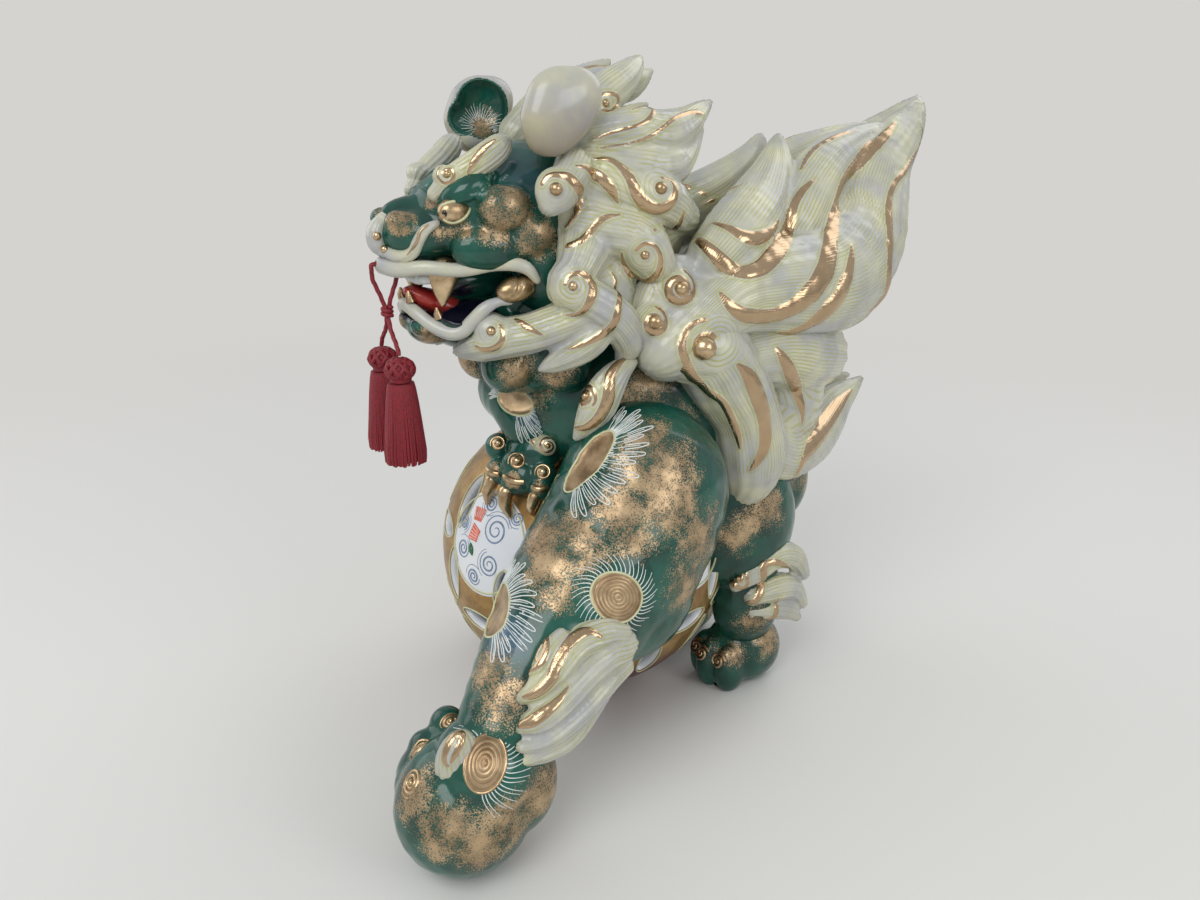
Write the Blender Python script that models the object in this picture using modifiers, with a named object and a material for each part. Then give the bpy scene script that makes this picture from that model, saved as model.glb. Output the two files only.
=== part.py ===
# Porcelain guardian lion standing over an openwork ball, with two tassels on a cord through its lip.
# Metres, Z up. The lion faces -Y, its own left is +X, and it rests on Z = 0. Lengths below are in millimetres.
import bpy
import bmesh
import math
from mathutils import Euler, Matrix, Vector
from mathutils.bvhtree import BVHTree

for thing in list(bpy.data.objects):
    bpy.data.objects.remove(thing, do_unlink=True)

MM = 0.001

# Seams
SEAM = 0.3              # gap left where one fired piece is set into the next
BALL_SEAM = 0.31        # gap left round the ball, on whose flat facets it is measured
CORD_ROOM = 0.45        # room round the cord in its hole
SHARP_REACH = 2.0       # most times the gap that a sharp corner's room reaches out
SWING_ROOM = 0.5        # gap between a cord's end and the tassel that swings under it

# Ball
BALL_RADIUS = 73.0
BALL_WALL = 6.0
SOLE_DEPTH = 1.0        # how much of the ball's underside is ground flat
BALL = Vector((-22.0, 0.0, BALL_RADIUS - SOLE_DEPTH))
LENS_LENGTH = 27.0      # pierced lens between two interlaced circles
LENS_WIDTH = 9.5
LENSES_ROUND = 12       # lenses on the ball's widest row
PANEL_HALF = 25.0       # half width of the painted panels, which have no lenses
PANEL_TILT = 18.0
PANEL_SPIN = -72.0

# Body
BODY_HALF = 43.0        # half width of the trunk
BODY_WALL = 7.0
VENT_RADIUS = 5.0
CHEST = Vector((0.0, -10.0, 158.0))
CHEST_HALF = 35.0       # half width of the chest
RUMP = Vector((0.0, 78.0, 122.0))

# Head
SKULL = Vector((0.0, -44.0, 244.0))
SKULL_HALF = 31.0
SKULL_HIGH = 28.5       # half height of the skull
MUZZLE = Vector((0.0, -84.0, 237.0))
MOUTH = Vector((0.0, -78.0, 212.5))
LIP_FRONT = Vector((0.0, -103.0, 225.0))
LIP_RADIUS = 3.4
EYE = Vector((20.5, -79.8, 246.3))
EAR = Vector((36.0, -45.0, 283.5))

# Legs
FOREFOOT = Vector((82.5, -112.0, 28.0))
SHOULDER = Vector((44.0, -8.0, 128.0))
THIGH = Vector((26.0, 62.0, 90.0))
HINDFOOT = Vector((28.0, 68.0, 16.0))
PAW_LIFT = 7.4          # of the raised paw's middle from the ball's surface
PAW = BALL + Vector((25.0, -46.0, 61.0)).normalized() * (BALL_RADIUS + PAW_LIFT)

# Cord and tassels
CORD_RADIUS = 0.9
KNOT_RADIUS = 2.5
KNOT_HALF = 3.6
BIGHT_DROP = 15.0       # from the lip hole to the top of the knot
STRAND_DROP = 13.0      # from the bottom of the knot to the tassel heads
TASSEL_OFFSET = 11.2    # of each tassel from the midline
HEAD_RADIUS = 6.6
HEAD_HEIGHT = 10.0
SKIRT_TOP = 6.6
SKIRT_FOOT = 9.2
SKIRT_LENGTH = 34.0
FLUTES = 10

GREEN, CREAM, GOLD = (0.010, 0.062, 0.045), (0.60, 0.56, 0.40), (0.55, 0.36, 0.14)
RED, WHITE, CRIMSON = (0.45, 0.03, 0.02), (0.75, 0.75, 0.72), (0.22, 0.006, 0.012)

lion = bpy.data.collections.new("guardian_lion")
cutters = bpy.data.collections.new("cutters")
cutters.hide_render = True
for group in (lion, cutters):
    bpy.context.scene.collection.children.link(group)

pieces = {}


# Making and changing meshes
def glaze(name, colour, rough=0.3, metal=0.0):
    material = bpy.data.materials.new(name)
    material.use_nodes = True
    shader = material.node_tree.nodes["Principled BSDF"]
    shader.inputs["Base Color"].default_value = (*colour, 1.0)
    shader.inputs["Roughness"].default_value = rough
    shader.inputs["Metallic"].default_value = metal
    return material


def place(name, mesh, group=lion):
    thing = bpy.data.objects.new(name, mesh)
    group.objects.link(thing)
    if group is cutters:
        thing.hide_render = True
        thing.display_type = "WIRE"
    return thing


def evaluated(thing):
    """The mesh that a thing's modifiers give."""
    bpy.context.view_layer.update()
    graph = bpy.context.evaluated_depsgraph_get()
    return bpy.data.meshes.new_from_object(thing.evaluated_get(graph), depsgraph=graph)


def settle(thing):
    """Puts the modified mesh in the thing and drops the modifiers."""
    mesh = evaluated(thing)
    thing.modifiers.clear()
    thing.data = mesh
    return thing


def lump(x, y, z, rx, ry=None, rz=None, turn=(0, 0, 0)):
    """A pressed ball of clay: centre, half sizes and turn in degrees."""
    ry, rz = ry or rx, rz or rx
    spin = Euler([math.radians(a) for a in turn]).to_matrix().to_4x4()
    return Matrix.Translation(Vector((x, y, z)) * MM) @ spin @ Matrix.Diagonal((rx * MM, ry * MM, rz * MM, 1))


def at(point, rx, ry=None, rz=None, turn=(0, 0, 0)):
    return lump(*point, rx, ry, rz, turn)


def roll(path, flat=(1, 1, 1)):
    """A rolled strand of clay through (x, y, z, radius) points, as closely set balls."""
    beads = []
    for i in range(len(path) - 1):
        a, b = path[max(i - 1, 0)], path[i]
        c, d = path[i + 1], path[min(i + 2, len(path) - 1)]
        reach = (Vector(c[:3]) - Vector(b[:3])).length
        steps = max(2, math.ceil(reach / (0.45 * max(1.5, min(b[3], c[3])))))
        for k in range(steps):
            t = k / steps
            spot = [0.5 * (2 * q + (r - p) * t + (2 * p - 5 * q + 4 * r - s) * t * t
                           + (3 * q - p - 3 * r + s) * t ** 3) for p, q, r, s in zip(a, b, c, d)]
            beads.append(spot)
    beads.append(list(path[-1]))
    return [lump(x, y, z, *(max(r, 0.8) * f for f in flat)) for x, y, z, r in beads]


def both(shapes):
    """Shapes and their mirror images across the midline."""
    flip = Matrix.Diagonal((-1, 1, 1, 1))
    return list(shapes) + [flip @ shape @ flip for shape in shapes]


def joined_mesh(name, shapes):
    bm = bmesh.new()
    for shape in shapes:
        bmesh.ops.create_icosphere(bm, subdivisions=2, radius=1.0, matrix=shape)
    mesh = bpy.data.meshes.new(name)
    bm.to_mesh(mesh)
    bm.free()
    return mesh


def clay(name, shapes, grain, faces, finish, smooth=6, group=lion):
    """One closed body of clay pressed together from the shapes, at about the given face count."""
    thing = place(name, joined_mesh(name, shapes), group)
    fuse = thing.modifiers.new("fuse", "REMESH")
    fuse.mode = "VOXEL"
    fuse.voxel_size = grain * MM
    soften = thing.modifiers.new("soften", "SMOOTH")
    soften.factor = 0.5
    soften.iterations = smooth
    settle(thing)
    thin = thing.modifiers.new("thin", "DECIMATE")
    triangles = sum(len(p.vertices) - 2 for p in thing.data.polygons)
    thin.ratio = min(1.0, faces / triangles)
    settle(thing)
    thing.data.name = name
    if finish:
        thing.data.materials.append(finish)
    pieces[name] = thing
    return thing


def tidied(thing):
    """Merges points that a cut left on top of each other; gives the volume, or None where the body isn't closed."""
    bm = bmesh.new()
    bm.from_mesh(thing.data)
    bmesh.ops.remove_doubles(bm, verts=bm.verts, dist=0.000002)
    bmesh.ops.dissolve_degenerate(bm, edges=bm.edges, dist=0.000002)
    bmesh.ops.triangulate(bm, faces=[f for f in bm.faces if len(f.verts) > 4])
    closed = all(edge.is_manifold for edge in bm.edges)
    held = bm.calc_volume(signed=True)
    bm.to_mesh(thing.data)
    bm.free()
    return held if closed else None


def left_inside(thing, tool):
    """How many corners of the thing lie within the tool, deeper than a hundredth of a millimetre."""
    tree = BVHTree.FromPolygons([v.co for v in tool.data.vertices], [p.vertices for p in tool.data.polygons])
    along, count = Vector((0.31, 0.22, 0.92)).normalized(), 0
    for vert in thing.data.vertices:
        if tree.find_nearest(vert.co)[3] < 0.01 * MM:
            continue
        start, turns = vert.co, 0
        hit = tree.ray_cast(start, along)
        while hit[0]:
            turns += 1 if hit[1].dot(along) > 0 else -1
            start = hit[0] + along * 0.001 * MM
            hit = tree.ray_cast(start, along)
        count += turns > 0
    return count


def carve(thing, tool):
    """Takes the tool's shape out of the thing, by the solver that leaves the fewest corners inside the tool."""
    kept, whole, most, room = list(thing.data.materials), thing.data, tidied(thing), tidied(tool)
    best = None
    for solver in ("EXACT", "MANIFOLD"):
        thing.data = whole.copy()
        cut = thing.modifiers.new("cut", "BOOLEAN")
        cut.operation = "DIFFERENCE"
        cut.solver = solver
        cut.object = tool
        settle(thing)
        left = tidied(thing)
        if left and most and room and most * 1.0001 >= left >= most - 1.02 * room:
            missed = left_inside(thing, tool)
            if best is None or missed < best[0]:
                best = missed, thing.data
            if not missed:
                break
    if best:
        thing.data = best[1]
    thing.data.materials.clear()
    for material in kept:
        thing.data.materials.append(material)
    return thing


def trimmed(thing):
    """Keeps the largest body, dropping crumbs that a cut left loose."""
    bm = bmesh.new()
    bm.from_mesh(thing.data)
    bmesh.ops.remove_doubles(bm, verts=bm.verts, dist=0.00001)
    left, bodies = set(bm.verts), []
    while left:
        edge = [left.pop()]
        body = set(edge)
        while edge:
            for link in edge.pop().link_edges:
                for vert in link.verts:
                    if vert in left:
                        left.discard(vert)
                        body.add(vert)
                        edge.append(vert)
        bodies.append(body)
    biggest = max(bodies, key=len)
    bmesh.ops.delete(bm, geom=[v for v in bm.verts if v not in biggest], context="VERTS")
    bm.to_mesh(thing.data)
    bm.free()
    return thing


def grown(thing, by):
    """A cutter in the shape of a thing, larger by this much all over."""
    bm = bmesh.new()
    bm.from_mesh(thing.data)
    bm.normal_update()
    moved = [v.co + v.normal * by * MM * min(v.calc_shell_factor(), SHARP_REACH) for v in bm.verts]
    for vert, spot in zip(bm.verts, moved):
        vert.co = spot
    mesh = bpy.data.meshes.new(thing.name + "_room")
    bm.to_mesh(mesh)
    bm.free()
    return place(mesh.name, mesh, cutters)


def box_cutter(name, low, high):
    bm = bmesh.new()
    size, middle = (high - low) * MM, (high + low) * 0.5 * MM
    bmesh.ops.create_cube(bm, size=1.0, matrix=Matrix.Translation(middle) @ Matrix.Diagonal((*size, 1)))
    mesh = bpy.data.meshes.new(name)
    bm.to_mesh(mesh)
    bm.free()
    return place(name, mesh, cutters)


def rod_cutter(name, start, end, radius):
    bm = bmesh.new()
    along = end - start
    turn = Vector((0, 0, 1)).rotation_difference(along).to_matrix().to_4x4()
    bmesh.ops.create_cone(bm, cap_ends=True, segments=16, radius1=radius * MM, radius2=radius * MM,
                          depth=along.length * MM, matrix=Matrix.Translation((start + end) * 0.5 * MM) @ turn)
    mesh = bpy.data.meshes.new(name)
    bm.to_mesh(mesh)
    bm.free()
    return place(name, mesh, cutters)


def turned(name, profile, sides, finish, centre, flute=0.0):
    """A body of revolution about a vertical axis, from (radius, height) points, fluted where asked."""
    bm = bmesh.new()
    rings = []
    for radius, height in profile:
        ring = []
        for k in range(sides):
            angle = 2 * math.pi * k / sides
            r = radius * (1 + (flute if k % 2 else 0.0))
            spot = centre + Vector((r * math.cos(angle), r * math.sin(angle), height))
            ring.append(bm.verts.new(spot * MM))
        rings.append(ring)
    for below, above in zip(rings, rings[1:]):
        for k in range(sides):
            bm.faces.new((below[k], below[(k + 1) % sides], above[(k + 1) % sides], above[k]))
    bm.faces.new(rings[0][::-1])
    bm.faces.new(rings[-1])
    bmesh.ops.recalc_face_normals(bm, faces=bm.faces)
    mesh = bpy.data.meshes.new(name)
    bm.to_mesh(mesh)
    bm.free()
    mesh.materials.append(finish)
    pieces[name] = place(name, mesh)
    return pieces[name]


def cord(name, path, finish):
    """A round cord through the points, made a closed mesh."""
    curve = bpy.data.curves.new(name, "CURVE")
    curve.dimensions = "3D"
    curve.bevel_depth = CORD_RADIUS * MM
    curve.bevel_resolution = 2
    curve.use_fill_caps = True
    spline = curve.splines.new("POLY")
    spline.points.add(len(path) - 1)
    for point, spot in zip(spline.points, path):
        point.co = (*(Vector(spot) * MM), 1.0)
    guide = place(name + "_line", curve, cutters)
    bm = bmesh.new()
    bm.from_mesh(evaluated(guide))
    bmesh.ops.remove_doubles(bm, verts=bm.verts, dist=0.00001)
    bmesh.ops.recalc_face_normals(bm, faces=bm.faces)
    mesh = bpy.data.meshes.new(name)
    bm.to_mesh(mesh)
    bm.free()
    bpy.data.objects.remove(guide, do_unlink=True)
    mesh.materials.append(finish)
    pieces[name] = place(name, mesh)
    return pieces[name]


green = glaze("green_glaze", GREEN, 0.18)
cream = glaze("cream_slip", CREAM, 0.25)
gold = glaze("fired_gold", GOLD, 0.22, 0.9)
red = glaze("iron_red", RED, 0.25)
white = glaze("white_glaze", WHITE, 0.15)
silk = glaze("crimson_silk", CRIMSON, 0.6)

# Openwork ball
# A hollow porcelain ball, pierced with lenses in rows where its interlaced circles cross, its foot ground flat.
bm = bmesh.new()
bmesh.ops.create_uvsphere(bm, u_segments=24, v_segments=12, radius=BALL_RADIUS * MM,
                          matrix=Matrix.Translation(BALL * MM))
ball_mesh = bpy.data.meshes.new("ball")
bm.to_mesh(ball_mesh)
bm.free()
ball = place("ball", ball_mesh)
ball.data.materials.append(white)
pieces["ball"] = ball
bm = bmesh.new()
bmesh.ops.create_uvsphere(bm, u_segments=20, v_segments=10, radius=(BALL_RADIUS - BALL_WALL) * MM,
                          matrix=Matrix.Translation(BALL * MM))
hollow_mesh = bpy.data.meshes.new("ball_hollow")
bm.to_mesh(hollow_mesh)
bm.free()
carve(ball, place("ball_hollow", hollow_mesh, cutters))
bm = bmesh.new()
bmesh.ops.create_uvsphere(bm, u_segments=24, v_segments=12, radius=(BALL_RADIUS + BALL_SEAM) * MM,
                          matrix=Matrix.Translation(BALL * MM))
room_mesh = bpy.data.meshes.new("ball_room")
bm.to_mesh(room_mesh)
bm.free()
ball_room = place("ball_room", room_mesh, cutters)

LENS_SIDES = 6
ROW_PITCH = 2 * math.pi / LENSES_ROUND
LOWEST_ROW = -0.6
panels = [Euler((0, -math.radians(PANEL_TILT), math.radians(PANEL_SPIN + 90 * k))).to_matrix() @ Vector((1, 0, 0))
          for k in range(4)]
bm = bmesh.new()
for row in range(-1, 2):
    for column in range(LENSES_ROUND):
        for upright in (True, False):
            tilt = ROW_PITCH * (row if upright else row - 0.5)
            spin = ROW_PITCH * (column if upright else column + 0.5)
            facing_way = Euler((0, -tilt, spin)).to_matrix() @ Vector((1, 0, 0))
            on_panel = any(facing_way.dot(panel) > math.cos(PANEL_HALF / BALL_RADIUS) for panel in panels)
            if on_panel or tilt < LOWEST_ROW:
                continue
            squeeze = 1.0 if upright else max(0.55, math.cos(tilt))
            facing = Euler((0, -tilt, spin)).to_matrix().to_4x4()
            outline = []
            for k in range(LENS_SIDES):
                angle = 2 * math.pi * k / LENS_SIDES
                along = 0.5 * LENS_LENGTH * squeeze * math.cos(angle)
                across = 0.5 * LENS_WIDTH * math.sin(angle) * (1 - 0.12 * math.cos(angle) ** 2)
                outline.append((across, along) if upright else (along, across))
            ends = []
            for depth in (BALL_RADIUS + 2, BALL_RADIUS - BALL_WALL - 4):
                ends.append([bm.verts.new(facing @ (Vector((depth, a * depth / BALL_RADIUS, b * depth / BALL_RADIUS))
                                                    * MM) + BALL * MM) for a, b in outline])
            for k in range(LENS_SIDES):
                m = (k + 1) % LENS_SIDES
                bm.faces.new((ends[0][k], ends[0][m], ends[1][m], ends[1][k]))
            bm.faces.new(ends[0])
            bm.faces.new(ends[1][::-1])
bmesh.ops.recalc_face_normals(bm, faces=bm.faces)
lens_mesh = bpy.data.meshes.new("lenses")
bm.to_mesh(lens_mesh)
bm.free()
carve(ball, place("lenses", lens_mesh, cutters))

# Cord and tassels
# One silk cord looped through the lip and knotted below it, with a tassel on each of its two ends.
KNOT = LIP_FRONT - Vector((0, 0, BIGHT_DROP + KNOT_HALF))
reach = LIP_RADIUS * 1.12 + CORD_RADIUS + CORD_ROOM
side = CORD_RADIUS + 0.25
top = LIP_FRONT.z + 0.8
bight = [(0, KNOT.y - side, KNOT.z + KNOT_HALF + SEAM), (0, KNOT.y - side - 0.4, KNOT.z + KNOT_HALF + 3),
         (0, LIP_FRONT.y - reach * 0.8, LIP_FRONT.z - 7), (0, LIP_FRONT.y - reach, LIP_FRONT.z - 3)]
for k in range(9):
    angle = math.pi * k / 8
    bight.append((0, LIP_FRONT.y - reach * math.cos(angle), top - 1.6 + 1.6 * max(0.0, math.sin(angle)) ** 0.35))
bight += [(0, LIP_FRONT.y + reach, LIP_FRONT.z - 3), (0, LIP_FRONT.y + reach * 0.8, LIP_FRONT.z - 7),
          (0, KNOT.y + side + 0.4, KNOT.z + KNOT_HALF + 3), (0, KNOT.y + side, KNOT.z + KNOT_HALF + SEAM)]
cord("cord_bight", bight, silk)
clay("cord_knot", [lump(*KNOT, KNOT_RADIUS, KNOT_RADIUS, KNOT_HALF * 0.7),
                   lump(KNOT.x, KNOT.y, KNOT.z + 1.4, KNOT_RADIUS * 1.1, KNOT_RADIUS, 1.9),
                   lump(KNOT.x, KNOT.y, KNOT.z - 1.6, KNOT_RADIUS, KNOT_RADIUS * 0.95, 1.9)],
     0.5, 100, silk, smooth=3)
HEAD_TOP = KNOT.z - KNOT_HALF - STRAND_DROP
for word, way in (("near", 1), ("far", -1)):
    foot = Vector((way * TASSEL_OFFSET, KNOT.y, HEAD_TOP))
    start = Vector((way * side, KNOT.y, KNOT.z - KNOT_HALF * 0.8 - SEAM))
    strand = []
    for k in range(9):
        t = k / 8
        bend = 0.5 - 0.5 * math.cos(math.pi * t)
        strand.append((start.x + (foot.x - start.x) * (0.5 * t + 0.5 * bend), start.y,
                       start.z + (foot.z + SWING_ROOM - start.z) * t))
    cord(word + "_cord", strand, silk)
    turned(word + "_tassel_head", [(1.0, 0.0), (4.2, -0.9), (HEAD_RADIUS, -3.2), (HEAD_RADIUS, -6.4),
                                   (SKIRT_TOP * 0.86, -HEAD_HEIGHT)][::-1], 12, silk, foot)
    low = -HEAD_HEIGHT - SEAM
    turned(word + "_tassel_skirt", [(SKIRT_FOOT * 0.9, low - SKIRT_LENGTH), (SKIRT_FOOT, low - SKIRT_LENGTH + 2),
                                    (SKIRT_FOOT * 0.93, low - SKIRT_LENGTH * 0.5), (SKIRT_TOP, low - 4),
                                    (SKIRT_TOP * 0.8, low)], 2 * FLUTES, silk, foot, flute=0.05)

# Small trims of the head
# Eyes, teeth, tongue, mouth corners, brows, ears, nose scroll and lips, each pressed on before firing.
clay("left_eye", [at(EYE, 5.2, 7.8, 5.4, (0, 8, 18))], 0.7, 50, gold, 3)
clay("left_fang", roll([(15.5, -83.5, 222.5, 6.2), (16, -84.5, 216.5, 4), (16, -85, 210, 1)], (0.55, 1.1, 1)),
     0.6, 40, gold, 2)
clay("front_teeth", both(roll([(0, -91.5, 219.5, 2.3), (6, -90.5, 219.5, 2.5), (11, -86.5, 220, 2.3)])),
     0.6, 80, white, 2)
clay("tongue", roll([(0, -64, 206, 7), (0, -76, 206, 8), (0, -85, 210, 7.5), (0, -92, 214, 4)], (1.15, 1, 0.55)),
     0.9, 100, red, 4)
clay("left_mouth_corner", [lump(26.5, -57.5, 215.5, 5.5, 9.2, 5.4, (8, 0, 4))], 0.8, 60, gold, 3)
clay("left_brow", roll([(13.5, -84.5, 252.5, 3.6), (17, -77.7, 258.4, 5.4), (21, -68.7, 264.5, 5.8),
                        (24.5, -62.5, 269.5, 5.2), (26, -60, 272.5, 2)], (0.85, 1, 1))
     + [lump(15, -81.5, 259, 4.2, 4.5, 4.5)], 1.0, 100, cream, 4)
clay("left_ear", [at(EAR, 8, 14.5, 14.5), lump(EAR.x + 0.5, EAR.y + 8.5, EAR.z + 5.5, 7.5, 10.5, 10),
                  lump(EAR.x + 0.5, EAR.y - 8.5, EAR.z - 4.5, 6.5, 7.5, 7),
                  lump(EAR.x - 1.5, EAR.y + 5, EAR.z - 9.5, 7.5, 9, 8)], 1.3, 140, cream, 8)
clay("ear_cup", [lump(EAR.x - 7.5, EAR.y + 1, EAR.z + 1.5, 9.5, 14, 12.5)], 1.4, 80, None, 4, cutters)
carve(pieces["left_ear"], pieces.pop("ear_cup"))
clay("nose_scroll", roll([(0, -100.6, 243.6, 2.8), (0, -104.8, 238.6, 3.8), (0, -105, 233.5, 3.7),
                          (0, -103, 230.8, 2.6)], (1.25, 1, 1))
     + both(roll([(3, -103, 230.6, 2.6), (9, -98.3, 229, 2.8), (13.5, -95.2, 231, 2.5), (16, -93.6, 235.4, 2.4),
                  (17.3, -90.8, 239.7, 2.2), (18, -86.5, 242, 1.5)])), 0.9, 120, cream, 4)
clay("upper_lip", both(roll([(0, *LIP_FRONT.yz, LIP_RADIUS * 1.12), (8, -99.5, 224, LIP_RADIUS),
                             (16, -91, 225, 3.0), (21.5, -79, 224, 2.9), (25.5, -65, 226, 3.0),
                             (29, -55, 224.5, 2.8), (30, -50, 219, 1.8)])), 0.9, 140, cream, 3)
clay("lower_lip", both(roll([(0, -95.5, 209, 2.6), (7, -93.6, 206.5, 2.8), (13, -89.5, 202, 2.9),
                             (18.5, -84, 199, 3), (21.5, -79.4, 199.8, 3), (23.5, -75.6, 204, 2.9),
                             (25.5, -71, 208.8, 2.7), (26.5, -66, 211, 2), (26.8, -60.5, 210.5, 1.3)])),
     0.8, 110, cream, 4)
carve(pieces["upper_lip"], rod_cutter("lip_hole", LIP_FRONT + Vector((0, -12, top - LIP_FRONT.z)),
                                      LIP_FRONT + Vector((0, 12, top - LIP_FRONT.z)), CORD_RADIUS + CORD_ROOM))

# Manes and tufts
# Locks of cream slip, rolled and pressed into masses with curled bosses of gold on them.
clay("left_mane", [lump(27, -17, 246, 17, 25, 32), lump(30, -24, 212, 14, 20, 24), lump(16, 6, 236, 15, 22, 34)]
     + roll([(22, -32, 274, 9), (22, -16, 288, 9), (17, -1, 297, 6.5), (13, 8, 304, 1.8)])
     + roll([(28, -22, 274, 8), (33, -9, 275, 10), (34, 4, 273, 11), (31, 18, 277, 8), (27, 29, 283, 4.5),
             (25, 36, 287, 1.6)])
     + roll([(30, -24, 266, 9), (34, -8, 263, 11), (36, 4, 262, 11), (33, 15, 266, 8), (29, 27, 276, 3.5)])
     + roll([(36, -22, 258, 10), (41, -8, 252, 10), (42, 2, 249, 10), (37, 12, 244, 8)])
     + roll([(33, -26, 240, 13), (40, -12, 236, 12), (42, -4, 227, 10), (40, 4, 217, 7)])
     + roll([(20, 10, 246, 14), (22, 24, 240, 9), (19, 33, 240, 2)])
     + roll([(38, -38, 262, 8), (42, -42, 255, 8), (40, -49, 250, 6)])
     + roll([(34, -30, 232, 12), (40, -37, 224, 9), (41, -43, 217, 8), (44, -34, 212, 9), (45, -22, 203, 9),
             (42, -14, 192, 7), (41, -18, 184, 2)])
     + roll([(42, -24, 205, 9), (41, -34, 194, 8), (38, -45, 187, 5), (36, -52, 184, 1.8)])
     + roll([(40, -34, 206, 9), (33, -52, 199, 8.5), (26, -64, 196, 8.5), (20, -72, 193, 7), (13, -78, 190, 3)])
     + [lump(39, -46, 255, 8, 7, 7), lump(40, 1, 250, 9, 11, 11), lump(43, -9, 229, 8.5, 8, 8),
        lump(42, -41, 217, 8.5, 9, 9), lump(23, -68, 199, 8, 8, 8)],
     1.8, 520, cream, 6)
clay("mane_crest", [lump(0, -16, 272, 16, 18, 18), lump(0, 8, 250, 16, 16, 28), lump(0, 14, 218, 18, 14, 26)]
     + roll([(0, -26, 282, 10), (0, -8, 291, 10), (0, 10, 294, 7), (0, 22, 300, 2)]), 2.0, 140, cream, 4)
clay("left_chest_tuft", roll([(BODY_HALF, -11.8, 183.4, 2.1), (BODY_HALF + 1, -19.3, 180.7, 5.4),
                              (BODY_HALF + 1, -25.1, 174.6, 7.9), (BODY_HALF, -28.8, 167.5, 8.6),
                              (BODY_HALF - 1, -33.1, 160.5, 6.3), (BODY_HALF - 2, -38.4, 154, 2.1)], (0.8, 1, 1)),
     1.0, 90, cream, 4)
clay("left_elbow_tuft", [lump(87, -43, 80, 6, 7, 8), lump(92, -68, 74, 8, 20, 13, (-35, 0, 0))]
     + roll([(88, -46, 86, 6), (91, -56, 90, 7), (92, -67, 89, 7), (94, -77, 82.5, 7), (95, -85, 77.5, 6),
             (95, -92, 75.5, 2.5)])
     + roll([(89, -46, 79, 7), (93, -55, 81, 7.5), (95, -66, 77, 7.5), (98, -77, 72, 7.5), (100, -87, 68, 6.5),
             (99.5, -94, 66, 3)])
     + roll([(89, -46, 73, 6.5), (92, -53, 72, 7), (95, -63, 67, 7), (99, -76, 63, 7), (101, -87, 60, 6),
             (102, -95.5, 60, 3)])
     + roll([(88, -48, 69, 5), (91, -56, 66, 6), (95, -66, 60, 6), (98.5, -75, 56, 6), (101.5, -86, 55, 5),
             (103, -95, 54.5, 2.5)])
     + roll([(90, -72, 93, 4), (91, -76, 90, 5), (93, -82, 85, 4.5), (94, -88, 80, 2)]), 1.5, 180, cream, 4)
clay("left_paw_tuft", [lump(90, -117, 54.5, 7, 8.5, 13.5, (-10, 10, 0))], 1.0, 70, cream, 3)
clay("left_hind_tuft", [lump(37, 71, 57, 7, 18, 19)] + roll([(42, 50, 62, 3.5), (43, 60, 67.5, 6.5), (43, 73, 73.5, 7.5), (42, 86, 69, 6.7),
                             (41, 95, 57, 4)], (0.9, 1, 1))
     + roll([(43, 60, 54, 5.6), (43, 73, 55, 8), (42, 86, 51.5, 7), (41, 95, 40, 4)], (0.9, 1, 1))
     + roll([(43, 60, 46, 4), (43, 73, 44, 6.2), (42, 86, 38.5, 5.2), (41, 93, 32, 2.7)], (0.9, 1, 1)),
     1.4, 140, cream, 4)
clay("right_wrist_tuft", roll([(-14, 0, 16, 2.5), (-5, 0.5, 13, 4.5), (4, 3.5, 10, 5), (11, 7, 9.5, 5)]), 1.0, 70, cream, 4)

# Tail
# A plume of three masses over the rump, alike on both sides, with gold curled bosses at its root.
clay("tail_plume", [lump(0, 62, 196, 34, 40, 30), lump(0, 104, 214, 24, 34, 30)]
     + both([lump(40, 10, 200, 13, 22, 27), lump(46, 6, 213, 9, 9, 9), lump(47, 20, 190, 11, 11, 11),
             lump(46, -7, 200, 8, 8, 9)]
            + roll([(44, 4, 188, 15), (44, 31, 206, 19), (42, 50, 208.5, 21.5), (36, 77.5, 207.5, 26),
                    (28, 104, 210, 30), (20, 127, 223, 28), (13, 139, 239.5, 25), (9, 151, 256, 19),
                    (6, 165, 267.5, 14.4), (4, 176, 276.5, 10.4), (2, 184, 285.3, 6.2), (0, 188.8, 292.8, 2)])
            + roll([(42, 29, 222, 14), (34, 47, 231.5, 16.5), (22, 67.5, 242.5, 15), (14, 80.5, 253.5, 11.3),
                    (9, 87.5, 263, 7.6), (7, 89.5, 270, 4.3), (6, 90, 273.5, 1.4)])
            + roll([(26, 84, 233.7, 16.8), (18, 100.7, 248.5, 15.3), (11, 118.7, 260, 13.2), (7, 137.6, 268, 10),
                    (4, 155, 273.6, 6.6)])),
     2.6, 480, cream, 6)
clay("tail_middle_plume", [lump(0, 96, 160, 28, 30, 24)]
     + both([lump(26, 84, 150, 20, 24, 26)]
            + roll([(44, 24, 180, 14), (38, 62, 180, 18.5), (32, 85, 175, 21), (24, 105.5, 170, 18)])
            + roll([(38, 56, 136, 16), (32, 78.5, 124.5, 16), (24, 103, 124.3, 15.5), (16, 122.3, 129.8, 13.3),
                    (11, 136.2, 136.4, 9.7), (8, 148.8, 141.3, 6), (5, 161, 145.2, 1.9)])),
     2.4, 220, cream, 6)
clay("tail_lower_plume", [lump(0, 70, 140, 34, 26, 26)]
     + both([lump(28, 58, 138, 18, 22, 26)]
            + roll([(47, 12, 186, 14), (46, 24, 185, 18), (44, 36, 170.5, 19), (42, 49, 152, 16),
                    (41, 53, 132.5, 15.5), (40, 52, 117, 9), (39, 48.6, 105.5, 2)])),
     2.6, 280, cream, 4)

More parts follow.
